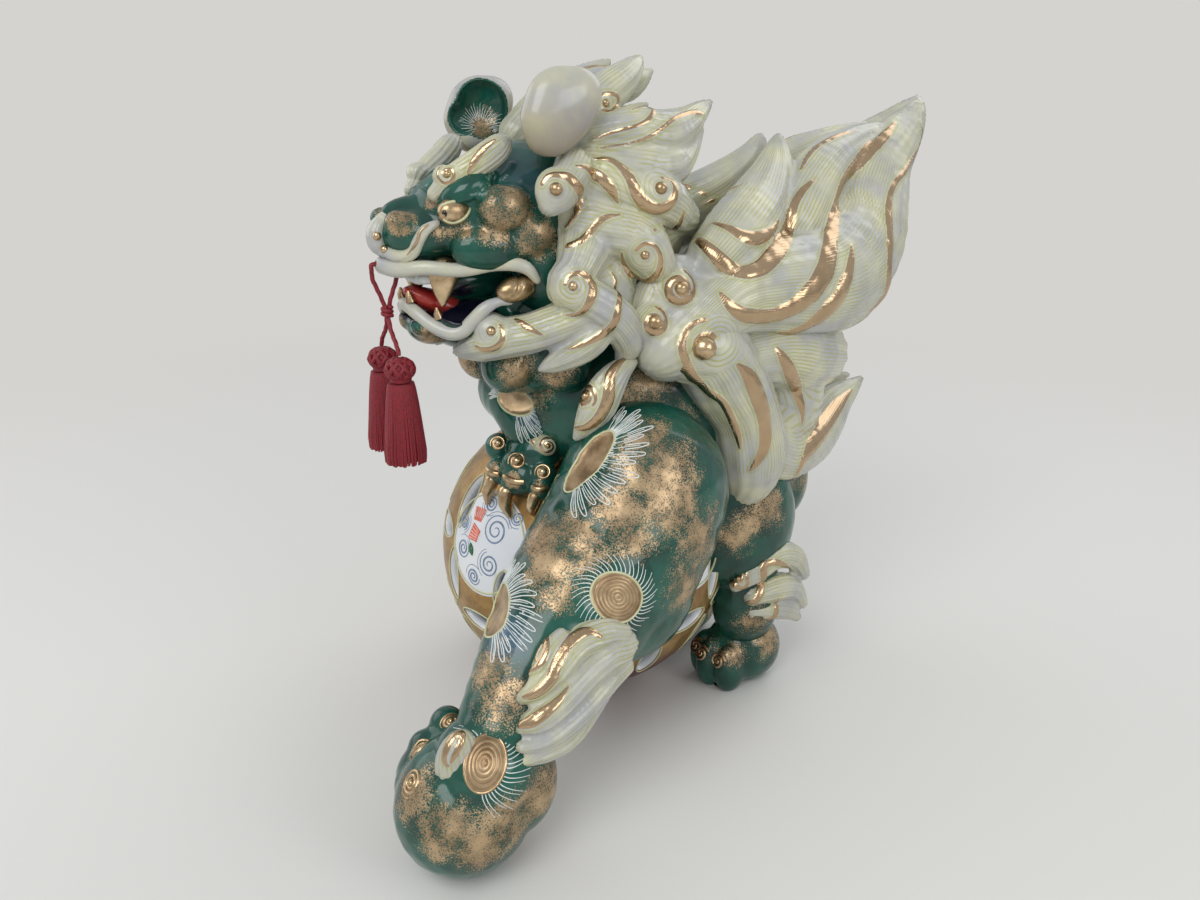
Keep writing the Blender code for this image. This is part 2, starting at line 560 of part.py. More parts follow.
# Head
# The skull with its muzzle and cheeks, and the lower jaw, with the open mouth carved between them.
clay("cranium", [at(SKULL, SKULL_HALF, 33, SKULL_HIGH), lump(0, -68, 216, 8, 17, 9), at(MUZZLE, 19, 21, 12),
                 lump(0, -66, 243, 26, 26, 20), lump(0, -86, 245, 7.5, 17, 7)]
     + both([lump(22, -66, 232, 9, 17, 10), lump(9, -99.5, 242.5, 4.6, 5, 4.4), lump(27, -62, 247, 7.5, 11, 9), lump(26, -50, 237, 7.5, 9, 10),
             lump(17, -74, 255, 10, 12, 6, (30, 0, 0)), lump(8, -97, 240, 6.5, 7, 6.5),
             lump(20, -42, 222, 12, 14, 20)]),
     1.8, 430, green, 4)
clay("lower_jaw", [lump(0, -84, 199, 12, 11, 8), lump(0, -66, 199, 21, 20, 12), lump(0, -46, 204, 24, 14, 16)]
     + both([lump(16, -72, 202, 9, 15, 8, (-12, 0, 0)), lump(7, -91, 201, 6, 5, 5)]), 1.6, 160, green, 4)
clay("mouth_room", both([lump(36, MOUTH.y, MOUTH.z, 30, 25, 10.5)])
     + [lump(0, -93, MOUTH.z, 24, 13, 9.5), lump(0, -96.5, 221, 5.4, 4.6, 7)], 1.5, 200, None, 2, cutters)
mouth = pieces.pop("mouth_room")
for name in ("cranium", "lower_jaw"):
    carve(pieces[name], mouth)
clay("throat", [lump(0, -40, 190, 30, 26, 26)]
     + both([lump(13, -57, 181, 13, 11, 12), lump(25, -36, 182, 12, 12, 13)]), 2.0, 120, green, 4)

# Legs and feet
# Three standing legs and the raised right foreleg, with knuckled feet pressed on them.
clay("left_forefoot", [at(FOREFOOT, 26, 28, 30), lump(85, -105, 42, 20, 20, 18), lump(88, -94, 36, 17, 18, 24),
                       lump(66.7, -119, 31.5, 15, 15, 16), lump(62.5, -109, 40, 12, 12, 13),
                       lump(69, -128, 33, 7.5, 7.5, 8.5), lump(60.7, -119, 41.5, 7.5, 7.5, 8),
                       lump(59, -109, 48, 7.5, 7.5, 8)], 1.9, 260, green, 6)
clay("left_foreleg", [at(SHOULDER, 32, 38, 38), lump(56, -28, 88, 29, 38, 35)]
     + roll([(46, -8, 124, 40), (52, -24, 104, 41), (62, -52, 86, 34), (75, -78, 67, 26), (84, -94, 52, 22),
             (86, -100, 44, 19)], (0.85, 1, 1)), 2.8, 280, green, 4)
clay("left_hind_leg", [at(THIGH, 24, 32, 38), lump(31, 66, 48, 16, 19, 30)], 2.6, 170, green, 4)
clay("left_hind_foot", [at(HINDFOOT, 18, 21, 19), lump(28, 58, 13, 16, 13, 15), lump(18.5, 51, 12, 6.5, 9, 13.5),
                        lump(28, 48, 12, 7, 9, 14), lump(38, 52, 12, 6.5, 9, 13.5)], 1.8, 170, green, 4)

# Raised right leg
# Its points are measured from the paw's middle, so that the leg goes with the ball that the paw holds.
clay("right_forepaw", [lump(-1, 7, 4, 14, 13, 12), lump(1, -1, -6, 12, 10, 10), lump(-13, -6, 4, 6.5),
                       lump(-8, -8, -6, 6.5), lump(1, -4, 0, 6.5), lump(3, -6.5, -8.5, 6), lump(12, 4.5, -3.5, 6),
                       lump(14.5, 1.5, -9, 5.5)], 1.4, 190, green, 3)
for word, path in (("inner", [(-8, -12, -10, 3.4), (-8.5, -14, -15, 3.0), (-9, -14.5, -21, 1.2)]),
                   ("middle", [(4, -10.5, -12, 3.6), (5, -11.5, -17, 3.2), (6.5, -10, -23, 1.3)]),
                   ("outer", [(15.5, -2, -12, 3.2), (15.5, -3.5, -15.5, 2.8), (14.5, -3, -20, 1.2)])):
    clay(f"right_claw_{word}", roll(path), 0.6, 44, gold, 2)
clay("right_foreleg", [lump(-41, 42, 5, 24, 28, 32)]
     + roll([(-37, 26, 19, 22), (-25, 10, 28, 19), (-11, 5, 27, 16), (-3, 5, 17, 13)]), 2.4, 190, green, 4)
for name in ("forepaw", "claw_inner", "claw_middle", "claw_outer", "foreleg", "wrist_tuft"):
    pieces["right_" + name].data.transform(Matrix.Translation(PAW * MM))

# Trunk
# The hollow body from chest to rump, open below through its firing vent.
spine = [(CHEST.x, CHEST.y, CHEST.z, CHEST_HALF), (0, 16, 158, BODY_HALF), (0, 48, 144, BODY_HALF - 4),
         (RUMP.x, RUMP.y, RUMP.z, BODY_HALF - 4)]
clay("trunk", roll(spine) + [lump(0, 94, 102, 32, 24, 32)], 3.8, 200, green, 4)

# Right-hand pieces
# The mirror images of the pieces that the lion has on both sides.
PAIRED = ("eye", "fang", "mouth_corner", "brow", "ear", "mane", "chest_tuft", "hind_tuft", "hind_leg", "hind_foot")
for name in PAIRED:
    near = pieces["left_" + name]
    bm = bmesh.new()
    bm.from_mesh(near.data)
    bmesh.ops.scale(bm, vec=(-1, 1, 1), verts=bm.verts)
    bmesh.ops.reverse_faces(bm, faces=bm.faces)
    mesh = bpy.data.meshes.new("right_" + name)
    bm.to_mesh(mesh)
    bm.free()
    mesh.materials.append(near.data.materials[0])
    pieces["right_" + name] = place("right_" + name, mesh)

# Floor and hollows
# Everything that stands is ground flat at the floor, and the body is hollow with a vent between the thighs.
FAR = 400               # past the figure on every side
floor = box_cutter("floor", Vector((-FAR, -FAR, -FAR)), Vector((FAR, FAR, 0)))
for name in ("ball", "left_forefoot", "left_hind_foot", "right_hind_foot"):
    carve(pieces[name], floor)
hollow = [(x, y, z, r - BODY_WALL) for x, y, z, r in
          ((0, 4, 166, 26), (0, 30, 160, 28), (0, 52, 146, 29), (RUMP.x, RUMP.y - 4, RUMP.z - 4, 29))]
clay("trunk_hollow", roll(hollow), 3.2, 160, None, 2, cutters)
carve(pieces["trunk"], pieces.pop("trunk_hollow"))
carve(pieces["trunk"], rod_cutter("vent", Vector((0, 72, 60)), Vector((0, 74, 112)), VENT_RADIUS))

# Luting faces
# The legs and the skull have flat faces where they are pressed against the body and the manes.
for name, low, high in (("left_foreleg", (-FAR, -FAR, -FAR), (24, FAR, FAR)),
                        ("cranium", (-FAR, -26, -FAR), (FAR, FAR, FAR)),
                        ("left_hind_leg", (-FAR, -FAR, -FAR), (10, FAR, FAR)),
                        ("right_hind_leg", (-10, -FAR, -FAR), (FAR, FAR, FAR))):
    carve(pieces[name], box_cutter(name + "_face", Vector(low), Vector(high)))

# Seams
# Each piece in turn is set into the ones after it, which are hollowed round it with an even gap.
order = [n for n in pieces if "cord" in n or "tassel" in n]
order += ["ball", "left_eye", "right_eye", "nose_scroll", "left_fang", "right_fang", "front_teeth", "tongue",
          "left_mouth_corner", "right_mouth_corner", "upper_lip", "lower_lip", "left_brow", "right_brow",
          "left_ear", "right_ear", "right_claw_inner", "right_claw_middle", "right_claw_outer",
          "left_chest_tuft", "right_chest_tuft", "left_elbow_tuft", "left_paw_tuft", "left_hind_tuft",
          "right_hind_tuft", "right_wrist_tuft", "tail_plume", "tail_middle_plume", "tail_lower_plume",
          "left_mane", "right_mane", "mane_crest", "cranium", "lower_jaw", "throat", "right_forepaw",
          "right_foreleg", "left_forefoot", "left_foreleg", "left_hind_foot", "right_hind_foot",
          "left_hind_leg", "right_hind_leg", "trunk"]


def box_of(thing):
    corners = [v.co for v in thing.data.vertices]
    return [(min(c[i] for c in corners), max(c[i] for c in corners)) for i in range(3)]


hanging = [n for n in order if "cord" in n or "tassel" in n]
rooms = {}
for place_in_order, name in enumerate(order):
    if name in hanging:
        continue
    if name == "ball":
        rooms[name] = ball_room
    else:
        rooms[name] = grown(pieces[name], SEAM)
    for earlier in order[len(hanging):place_in_order]:
        ours, theirs = box_of(pieces[name]), box_of(rooms[earlier])
        if all(a[0] < b[1] and b[0] < a[1] for a, b in zip(ours, theirs)):
            carve(pieces[name], rooms[earlier])
    trimmed(pieces[name])

# Frame
# The origin is the middle of the footprint of the fired pieces, on the floor.
boxes = [box_of(pieces[n]) for n in order if n not in hanging]
middle = [0.5 * (min(b[i][0] for b in boxes) + max(b[i][1] for b in boxes)) for i in (0, 1)]
for name in order:
    pieces[name].data.transform(Matrix.Translation((-middle[0], -middle[1], 0)))
    pieces[name].data.name = name

# Hinges
# Each hanging piece has its origin on the line that it swings about.
HOLE = Vector((LIP_FRONT.x, LIP_FRONT.y, top))
KNOT_TOP = Vector((KNOT.x, KNOT.y, KNOT.z + KNOT_HALF))
hinges = {"cord_bight": HOLE, "cord_knot": KNOT_TOP, "near_cord": KNOT_TOP, "far_cord": KNOT_TOP}
for word, way in (("near", 1), ("far", -1)):
    hinges[word + "_tassel_head"] = hinges[word + "_tassel_skirt"] = Vector((way * TASSEL_OFFSET, KNOT.y, HEAD_TOP))
for name, hinge in hinges.items():
    place_of_hinge = hinge * MM - Vector((*middle, 0))
    pieces[name].data.transform(Matrix.Translation(-place_of_hinge))
    pieces[name].location = place_of_hinge
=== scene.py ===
# Porcelain guardian lion standing over an openwork ball, its right forepaw raised on it, with two silk
# tassels on a cord through its upper lip. Places are first given in millimetres from the point of the floor
# under the ball's centre, or as points of the 1200 x 900 picture that are then laid on the clay.
import bpy
import math
import random
import numpy as np
from mathutils import Euler, Matrix, Vector
from mathutils.bvhtree import BVHTree
from mathutils.kdtree import KDTree


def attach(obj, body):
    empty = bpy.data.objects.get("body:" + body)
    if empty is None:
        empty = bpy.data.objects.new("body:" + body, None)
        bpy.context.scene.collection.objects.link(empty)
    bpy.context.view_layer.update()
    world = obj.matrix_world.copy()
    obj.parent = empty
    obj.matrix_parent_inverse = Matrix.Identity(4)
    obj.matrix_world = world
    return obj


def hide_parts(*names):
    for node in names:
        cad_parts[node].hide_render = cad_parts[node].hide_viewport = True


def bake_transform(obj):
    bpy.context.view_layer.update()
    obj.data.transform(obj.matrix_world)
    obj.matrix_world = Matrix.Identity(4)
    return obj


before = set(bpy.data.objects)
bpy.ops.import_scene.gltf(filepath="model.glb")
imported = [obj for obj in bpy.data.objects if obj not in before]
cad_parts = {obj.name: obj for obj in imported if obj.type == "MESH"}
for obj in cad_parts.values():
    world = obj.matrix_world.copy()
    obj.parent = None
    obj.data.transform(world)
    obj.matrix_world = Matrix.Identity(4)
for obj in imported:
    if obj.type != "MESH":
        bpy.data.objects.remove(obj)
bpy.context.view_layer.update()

MM = 0.001

# Camera
# It stands in front of the lion's left cheek, a little above its ears, and looks down at the ball.
FOOTPRINT = Vector((6.2872, 24.9142, 0.0))      # middle of the fired footprint, from under the ball's centre


def on_figure(x, y, z):
    return (Vector((x, y, z)) - FOOTPRINT) * MM


PICTURE_WIDTH, PICTURE_HEIGHT = 1200, 900
FOCAL_LENGTH = 933      # in points of the picture
FILM_WIDTH = 36
STAND = on_figure(368, -216, 277)
AHEAD = Vector((-0.8184, 0.4725, -0.3272))
ACROSS = Vector((0.5, 0.866, 0.0))
UPWARD = Vector((-0.2834, 0.1636, 0.9449))
bpy.ops.object.select_all(action="DESELECT")
bpy.ops.object.camera_add(location=STAND)
camera = bpy.context.object
camera.name = "camera"
camera.rotation_euler = Matrix((ACROSS, UPWARD, -AHEAD)).transposed().to_euler()
camera.data.sensor_width = FILM_WIDTH
camera.data.lens = FOCAL_LENGTH / PICTURE_WIDTH * FILM_WIDTH
camera.data.clip_start = 0.01
bpy.context.scene.camera = camera

# Floor and light
# A pale matt floor, one large soft lamp over the lion's left side, three weaker ones round it, and a pale
# sky. The floor fades into the backdrop for the camera alone.
FLOOR_SIDE = 14
PALE_GREY = (0.66, 0.65, 0.63, 1)
bpy.ops.mesh.primitive_plane_add(size=FLOOR_SIDE)
floor = bpy.context.object
floor.name = "floor"


def shader_of(name):
    material = bpy.data.materials.new(name)
    material.use_nodes = True
    return material, material.node_tree, material.node_tree.nodes["Principled BSDF"]


def node(tree, kind, inputs=(), **settings):
    """Adds a shader node, sets it, and feeds its sockets with numbers or with other nodes' outputs."""
    added = tree.nodes.new("ShaderNode" + kind)
    for key, value in settings.items():
        setattr(added, key, value)
    for socket, value in dict(inputs).items():
        if isinstance(value, bpy.types.NodeSocket):
            tree.links.new(value, added.inputs[socket])
        else:
            added.inputs[socket].default_value = value
    return added


def shades(tree, amount, dark, light, low=0.0, high=1.0):
    """Goes from a dark shade to a light one while the amount goes from low to high."""
    ramp = node(tree, "ValToRGB", {"Fac": amount})
    ramp.color_ramp.elements[0].position, ramp.color_ramp.elements[1].position = low, high
    ramp.color_ramp.elements[0].color, ramp.color_ramp.elements[1].color = (*dark, 1), (*light, 1)
    return ramp.outputs["Color"]


def roughened(tree, shader, height, strength, distance, **settings):
    """Lets a height stand out of a shader's surface."""
    relief = node(tree, "Bump", {"Height": height, "Strength": strength, "Distance": distance}, **settings)
    tree.links.new(relief.outputs["Normal"], shader.inputs["Normal"])


floor_paint, tree, shader = shader_of("floor_paint")
shader.inputs["Base Color"].default_value = (0.70, 0.69, 0.66, 1)
shader.inputs["Roughness"].default_value = 0.8
spread = node(tree, "VectorMath", {0: node(tree, "TexCoord").outputs["Object"]},
              operation="LENGTH").outputs["Value"]
far = node(tree, "MapRange", {"Value": spread, "From Min": 0.3, "From Max": 1.1},
           interpolation_type="SMOOTHSTEP").outputs["Result"]
by_eye = node(tree, "Math", {0: far, 1: node(tree, "LightPath").outputs["Is Camera Ray"]},
              operation="MULTIPLY").outputs[0]
glow = node(tree, "Emission", {"Color": PALE_GREY})
faded = node(tree, "MixShader", {0: by_eye, 1: shader.outputs[0], 2: glow.outputs[0]})
tree.links.new(faded.outputs[0], tree.nodes["Material Output"].inputs["Surface"])
floor.data.materials.append(floor_paint)
lamps = (((0.55, -0.75, 0.95), 0.7, 6.0), ((1.0, 0.35, 0.55), 0.5, 2.2), ((-0.8, -0.7, 0.6), 0.8, 2.4),
         ((-0.2, 0.9, 0.9), 0.8, 3.0))          # place in metres, side in metres and power in watts
LIT_MIDDLE = Vector((0, 0, 0.14))
for place, size, power in lamps:
    bpy.ops.object.light_add(type="AREA", location=place)
    lamp = bpy.context.object
    lamp.data.size = size
    lamp.data.energy = power
    lamp.rotation_euler = (LIT_MIDDLE - Vector(place)).to_track_quat("-Z", "Y").to_euler()
world = bpy.data.worlds.new("sky")
bpy.context.scene.world = world
world.use_nodes = True
sky = world.node_tree.nodes["Background"]
seen_ray = node(world.node_tree, "LightPath")
backdrop = node(world.node_tree, "Background", {"Color": PALE_GREY, "Strength": 1.0})
sky.inputs["Color"].default_value = (0.80, 0.82, 0.85, 1)
sky.inputs["Strength"].default_value = 0.7
either = node(world.node_tree, "MixShader", {0: seen_ray.outputs["Is Camera Ray"], 1: sky.outputs[0],
                                             2: backdrop.outputs[0]})
world.node_tree.links.new(either.outputs[0], world.node_tree.nodes["World Output"].inputs["Surface"])
bpy.context.scene.view_settings.view_transform = "Standard"

# Silk cord
# One thin three-ply crimson cord goes through a hole in the upper lip, is knotted under it, and ends in two
# tassels. Its loop turns in the hole.
silk, tree, shader = shader_of("crimson_silk")
spot = node(tree, "TexCoord").outputs["Object"]
fleck = node(tree, "TexNoise", {"Vector": spot, "Scale": 2200, "Detail": 3})
shade = shades(tree, fleck.outputs["Fac"], (0.085, 0.003, 0.007), (0.32, 0.010, 0.022), 0.32, 0.72)
tree.links.new(shade, shader.inputs["Base Color"])
roughened(tree, shader, fleck.outputs["Fac"], 0.25, 0.0002)
shader.inputs["Roughness"].default_value = 0.55
shader.inputs["Sheen Weight"].default_value = 0.12
shader.inputs["Sheen Tint"].default_value = (0.9, 0.2, 0.25, 1)


def flowing(points, steps):
    """Points on one smooth line through the given ones. Further numbers, such as a radius, go along."""
    given, smooth = [tuple(p) for p in points], []
    for i in range(len(given) - 1):
        a, b, c, d = given[max(i - 1, 0)], given[i], given[i + 1], given[min(i + 2, len(given) - 1)]
        for k in range(steps):
            t = k / steps
            smooth.append(tuple(0.5 * (2 * q + (r - p) * t + (2 * p - 5 * q + 4 * r - s) * t * t
                                       + (3 * q - p - 3 * r + s) * t ** 3)
                                for p, q, r, s in zip(a, b, c, d)))
    smooth.append(given[-1])
    return smooth


def alone(piece):
    """Selects one piece and nothing else."""
    bpy.ops.object.select_all(action="DESELECT")
    piece.select_set(True)
    bpy.context.view_layer.objects.active = piece


def finished(piece, nodes, body="lion"):
    """A piece stands for its CAD nodes and rides on their body."""
    alone(piece)
    bpy.ops.object.shade_smooth()
    piece.data.validate()
    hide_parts(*nodes)
    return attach(piece, body)


def plied(name, path, radius, plies=3, lay=0.0042, sides=12, swell=0.09):
    """A closed tube along the path whose wall bulges into twisted plies, one turn in each lay."""
    line = [Vector(p) for p in path]
    across, travelled, rows, faces = None, 0.0, [], []
    for i, here in enumerate(line):
        along = (line[min(i + 1, len(line) - 1)] - line[max(i - 1, 0)]).normalized()
        across = along.orthogonal() if across is None else across - along * across.dot(along)
        across.normalize()
        other = along.cross(across)
        travelled += (here - line[i - 1]).length if i else 0.0
        for k in range(sides):
            turn = 2 * math.pi * k / sides
            bulge = radius * (1 + swell * math.cos(plies * (turn - 2 * math.pi * travelled / lay / plies)))
            rows.append(here + (across * math.cos(turn) + other * math.sin(turn)) * bulge)
    for i in range(len(line) - 1):
        for k in range(sides):
            m = (k + 1) % sides
            faces.append((i * sides + k, i * sides + m, (i + 1) * sides + m, (i + 1) * sides + k))
    faces += [tuple(range(sides))[::-1], tuple(range((len(line) - 1) * sides, len(line) * sides))]
    mesh = bpy.data.meshes.new(name)
    mesh.from_pydata(rows, [], faces)
    mesh.materials.append(silk)
    piece = bpy.data.objects.new(name, mesh)
    bpy.context.collection.objects.link(piece)
    return piece


CORD = 0.0018           # diameter
LIP_Y, LIP_TOP = -103.0, 225.8
LOOP_HALF, LOOP_RISE = 5.158, 1.6
loop = [(0, LIP_Y - LOOP_HALF * math.cos(math.pi * k / 12),
         LIP_TOP - LOOP_RISE + LOOP_RISE * max(0.0, math.sin(math.pi * k / 12)) ** 0.35) for k in range(13)]
loop = [(0, -108.16, 222.4)] + loop + [(0, -97.84, 222.4)]
lip_loop = plied("lip_loop", [on_figure(*p) for p in flowing(loop, 3)], CORD / 2)
finished(lip_loop, ["cord_bight"], "bight")

KNOT = Vector((0, -103, 206.4))
near_route = [(0, -108.16, 222.2), (0, -108.0, 220), (0, -107.13, 217.4), (0, -105.2, 212.6),
              (0.1, -104.2, 209.4), (0.9, -103.6, 206.4), (1.3, -103.0, 203.2), (2.2, -103, 200.6),
              (4.2, -103, 198.2), (6.6, -103, 196.2), (9.0, -103, 194.2), (10.6, -103, 192.2),
              (11.2, -103, 190.3)]
far_route = [(0, -97.84, 222.2), (0, -98.0, 220), (0, -98.87, 217.4), (0, -100.8, 212.6),
             (-0.1, -101.8, 209.4), (-0.9, -102.4, 206.4), (-1.3, -103.0, 203.2), (-2.2, -103, 200.6),
             (-4.2, -103, 198.2), (-6.6, -103, 196.2), (-9.0, -103, 194.2), (-10.6, -103, 192.2),
             (-11.2, -103, 190.3)]


strands = {}
for word, route, cad in (("near", near_route, "near_cord"), ("far", far_route, "far_cord")):
    path = [on_figure(*p) for p in flowing(route, 6)]
    strand = plied(word + "_silk_cord", path, CORD / 2)
    alone(strand)
    bpy.ops.object.shade_smooth()
    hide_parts(cad)
    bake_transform(strand)
    strands[word] = strand, path

# Knot
# The two halves of the cord are bound together under the lip by two and a half turns of their own.
KNOT_TURNS, KNOT_RADIUS, KNOT_HEIGHT, KNOT_STEPS = 2.5, 1.75, 4.2, 60
wraps = []
for k in range(KNOT_STEPS + 1):
    turn = 2 * math.pi * KNOT_TURNS * k / KNOT_STEPS
    wraps.append(on_figure(KNOT.x + KNOT_RADIUS * math.cos(turn), KNOT.y + KNOT_RADIUS * math.sin(turn),
                           KNOT.z + KNOT_HEIGHT / 2 - KNOT_HEIGHT * k / KNOT_STEPS))
knot = plied("silk_knot", wraps, CORD / 2)
finished(knot, ["cord_knot"], "strands")

# Tassels
# Each cord ends in a turk's-head knob wound over a wooden bead, and under it a skirt of silk threads, bound
# at its neck.
SKIRT_FOOT, HEAD_TOP, TASSELS_APART = 9.2, 189.8, 22.4
KNOB_WINDINGS, KNOB_LEADS, THREADS = 5, 8, 84
THREAD_LENGTH, THREAD_RADIUS = 33.2, 0.42
chance = random.Random(4)


def joined(pieces, name):
    bpy.ops.object.select_all(action="DESELECT")
    for piece in pieces:
        piece.select_set(True)
    bpy.context.view_layer.objects.active = pieces[0]
    if len(pieces) > 1:
        bpy.ops.object.join()
    pieces[0].name = pieces[0].data.name = name
    return pieces[0]


def round_lines(name, lines, finish, fineness=1):
    """Lines of (point, radius) laid as round strands, all in one mesh."""
    bpy.ops.object.select_all(action="DESELECT")
    bpy.ops.curve.primitive_nurbs_path_add()
    strand = bpy.context.object
    strand.name = name
    strand.data.splines.clear()
    strand.data.bevel_depth = 1.0
    strand.data.bevel_resolution = fineness
    strand.data.use_fill_caps = True
    strand.data.materials.append(finish)
    for line in lines:
        spline = strand.data.splines.new("POLY")
        spline.points.add(len(line) - 1)
        for point, (where, thick) in zip(spline.points, line):
            point.co = (*where, 1.0)
            point.radius = thick
    bpy.ops.object.convert(target="MESH")
    return bpy.context.object


for word, way, body in (("near", 1, "near_tassel"), ("far", -1, "far_tassel")):
    x, y = way * TASSELS_APART / 2, LIP_Y
    bead = Vector((x, y, HEAD_TOP - 4.9))
    turks_head = []
    for k in range(193):
        turn = 2 * math.pi * KNOB_WINDINGS * k / 192
        tilt = math.radians(62) * math.cos(turn * KNOB_LEADS / KNOB_WINDINGS)
        turks_head.append((on_figure(bead.x + 5.6 * math.cos(turn) * math.cos(tilt),
                                     bead.y + 5.6 * math.sin(turn) * math.cos(tilt),
                                     bead.z + 4.2 * math.sin(tilt)), 0.95 * MM))
    core = [(on_figure(x, y, HEAD_TOP - h), r * MM)
            for r, h in ((0.9, 0.3), (2.6, 0.9), (4.7, 2.4), (5.3, 4.6), (5.0, 7.0), (4.6, 8.6), (4.4, 9.9))]
    tassel_knob = joined([round_lines("winding", [turks_head], silk), round_lines("bead", [core], silk, 4)],
                         word + "_tassel_knob")
    finished(tassel_knob, [word + "_tassel_head"], body)
    threads, neck = [], HEAD_TOP - 10.3
    for k in range(THREADS):
        turn = 2 * math.pi * (k + 0.3 * chance.random()) / THREADS
        sway, cut = 0.05 * (chance.random() - 0.5), neck - THREAD_LENGTH - 0.8 * chance.random()
        for_foot = SKIRT_FOOT - 0.75 - 0.5 * chance.random()
        thread = []
        for r, z, swing in ((5.0, neck - 0.3, 0), (5.6, neck - 3, 0), (6.4, neck - 9, 0.3),
                            (7.4, neck - 19, 0.7), (for_foot, neck - 29, 1), (for_foot - 0.2, cut, 1.2)):
            here = turn + sway * swing
            thread.append((on_figure(x + r * math.cos(here), y + r * math.sin(here), z), THREAD_RADIUS * MM))
        threads.append(thread)
    inside = [(on_figure(x, y, neck - h), r * MM)
              for r, h in ((4.9, 0.1), (5.4, 3), (6.2, 9), (7.1, 19), (8.0, 29), (8.0, 32.4))]
    ring = [(on_figure(x + 5.5 * math.cos(a), y + 5.5 * math.sin(a), neck - 2.4 - 0.5 * a / 6.28), 0.4 * MM)
            for a in [2 * math.pi * k / 24 for k in range(73)]]
    skirt = joined([round_lines("threads", threads, silk), round_lines("inside", [inside], silk, 5),
                    round_lines("ring", [ring], silk)], word + "_tassel_threads")
    finished(skirt, [word + "_tassel_skirt"], body)
    strand, path = strands[word]

# Openwork ball
# A hollow cast ball pierced with lenses where its circles cross. The lattice is gilded, the walls of the
# holes and four round panels stay white, and the panels carry blue scrolls and a coral flower.
BALL_RADIUS, BALL_WALL = 73.0, 6.0
BALL = on_figure(-22, 0, 72)
LENSES_ROUND = 12
PITCH = 2 * math.pi / LENSES_ROUND
LENS_HALF_LENGTH, LENS_HALF_WIDTH = 13.5, 5.2
PANEL_RADIUS, PANEL_TILT, PANEL_SPIN = 24.4, 18, -72
panels = []
for k in range(4):
    turned = Euler((0, -math.radians(PANEL_TILT), math.radians(PANEL_SPIN + 90 * k))).to_matrix()
    panels.append(turned @ Vector((1, 0, 0)))

gilt, tree, shader = shader_of("fired_gold")
spot = node(tree, "TexCoord").outputs["Object"]
cloud = node(tree, "TexNoise", {"Vector": spot, "Scale": 160, "Detail": 5, "Roughness": 0.6})
shade = shades(tree, cloud.outputs["Fac"], (0.30, 0.195, 0.095), (0.66, 0.50, 0.31), 0.30, 0.66)
tree.links.new(shade, shader.inputs["Base Color"])
worn = node(tree, "MapRange", {"Value": cloud.outputs["Fac"], "From Min": 0.3, "From Max": 0.7,
                               "To Min": 0.34, "To Max": 0.20})
tree.links.new(worn.outputs["Result"], shader.inputs["Roughness"])
brush = node(tree, "TexNoise", {"Vector": spot, "Scale": 900, "Detail": 2})
roughened(tree, shader, brush.outputs["Fac"], 0.12, 0.0003)
shader.inputs["Metallic"].default_value = 0.95

ball_glaze, tree, shader = shader_of("white_glaze")
spot = node(tree, "TexCoord").outputs["Object"]
from_middle = node(tree, "VectorMath", {0: spot, 1: BALL}, operation="SUBTRACT").outputs["Vector"]
reach = node(tree, "VectorMath", {0: from_middle}, operation="LENGTH").outputs["Value"]
facing = node(tree, "VectorMath", {0: from_middle}, operation="NORMALIZE").outputs["Vector"]
nearest = None
for panel in panels:
    dot = node(tree, "VectorMath", {0: facing, 1: panel}, operation="DOT_PRODUCT").outputs["Value"]
    nearest = (dot if nearest is None else
               node(tree, "Math", {0: nearest, 1: dot}, operation="MAXIMUM").outputs[0])
outside = node(tree, "MapRange", {"Value": reach, "From Min": 0.0725, "From Max": 0.0727}).outputs["Result"]
off_panel = node(tree, "MapRange", {"Value": nearest, "From Min": 0.9425,
                                    "From Max": 0.9415}).outputs["Result"]
leafed = node(tree, "Math", {0: outside, 1: off_panel}, operation="MULTIPLY").outputs[0]
cloud = node(tree, "TexNoise", {"Vector": spot, "Scale": 90, "Detail": 6, "Roughness": 0.65})
shade = shades(tree, cloud.outputs["Fac"], (0.22, 0.115, 0.035), (0.50, 0.31, 0.11), 0.32, 0.68)
height = node(tree, "SeparateXYZ", {0: spot}).outputs["Z"]
low = node(tree, "MapRange", {"Value": height, "From Min": 0.034, "From Max": 0.026}).outputs["Result"]
foot = node(tree, "Mix", {0: low, 6: shade, 7: (0.16, 0.022, 0.012, 1)}, data_type="RGBA").outputs[2]
milk = node(tree, "TexNoise", {"Vector": spot, "Scale": 45, "Detail": 3})
white = shades(tree, milk.outputs["Fac"], (0.66, 0.69, 0.74), (0.80, 0.81, 0.81))
colour = node(tree, "Mix", {0: leafed, 6: white, 7: foot}, data_type="RGBA").outputs[2]
tree.links.new(colour, shader.inputs["Base Color"])
metal = node(tree, "Math", {0: leafed, 1: 0.7}, operation="MULTIPLY").outputs[0]
tree.links.new(metal, shader.inputs["Metallic"])
rough = node(tree, "MapRange", {"Value": leafed, "To Min": 0.12, "To Max": 0.34}).outputs["Result"]
tree.links.new(rough, shader.inputs["Roughness"])

bpy.ops.object.select_all(action="DESELECT")
bpy.ops.mesh.primitive_uv_sphere_add(segments=144, ring_count=72, radius=BALL_RADIUS * MM, location=BALL)
bpy.ops.object.transform_apply(location=True, rotation=True, scale=True)
ball = bpy.context.object
ball.name = "openwork_ball"
ball.data.materials.append(ball_glaze)


def applied(piece, kind, **settings):
    """Adds a modifier to a piece and applies it."""
    alone(piece)
    modifier = piece.modifiers.new(kind.lower(), kind)
    for key, value in settings.items():
        setattr(modifier, key, value)
    bpy.ops.object.modifier_apply(modifier=modifier.name)
    return piece


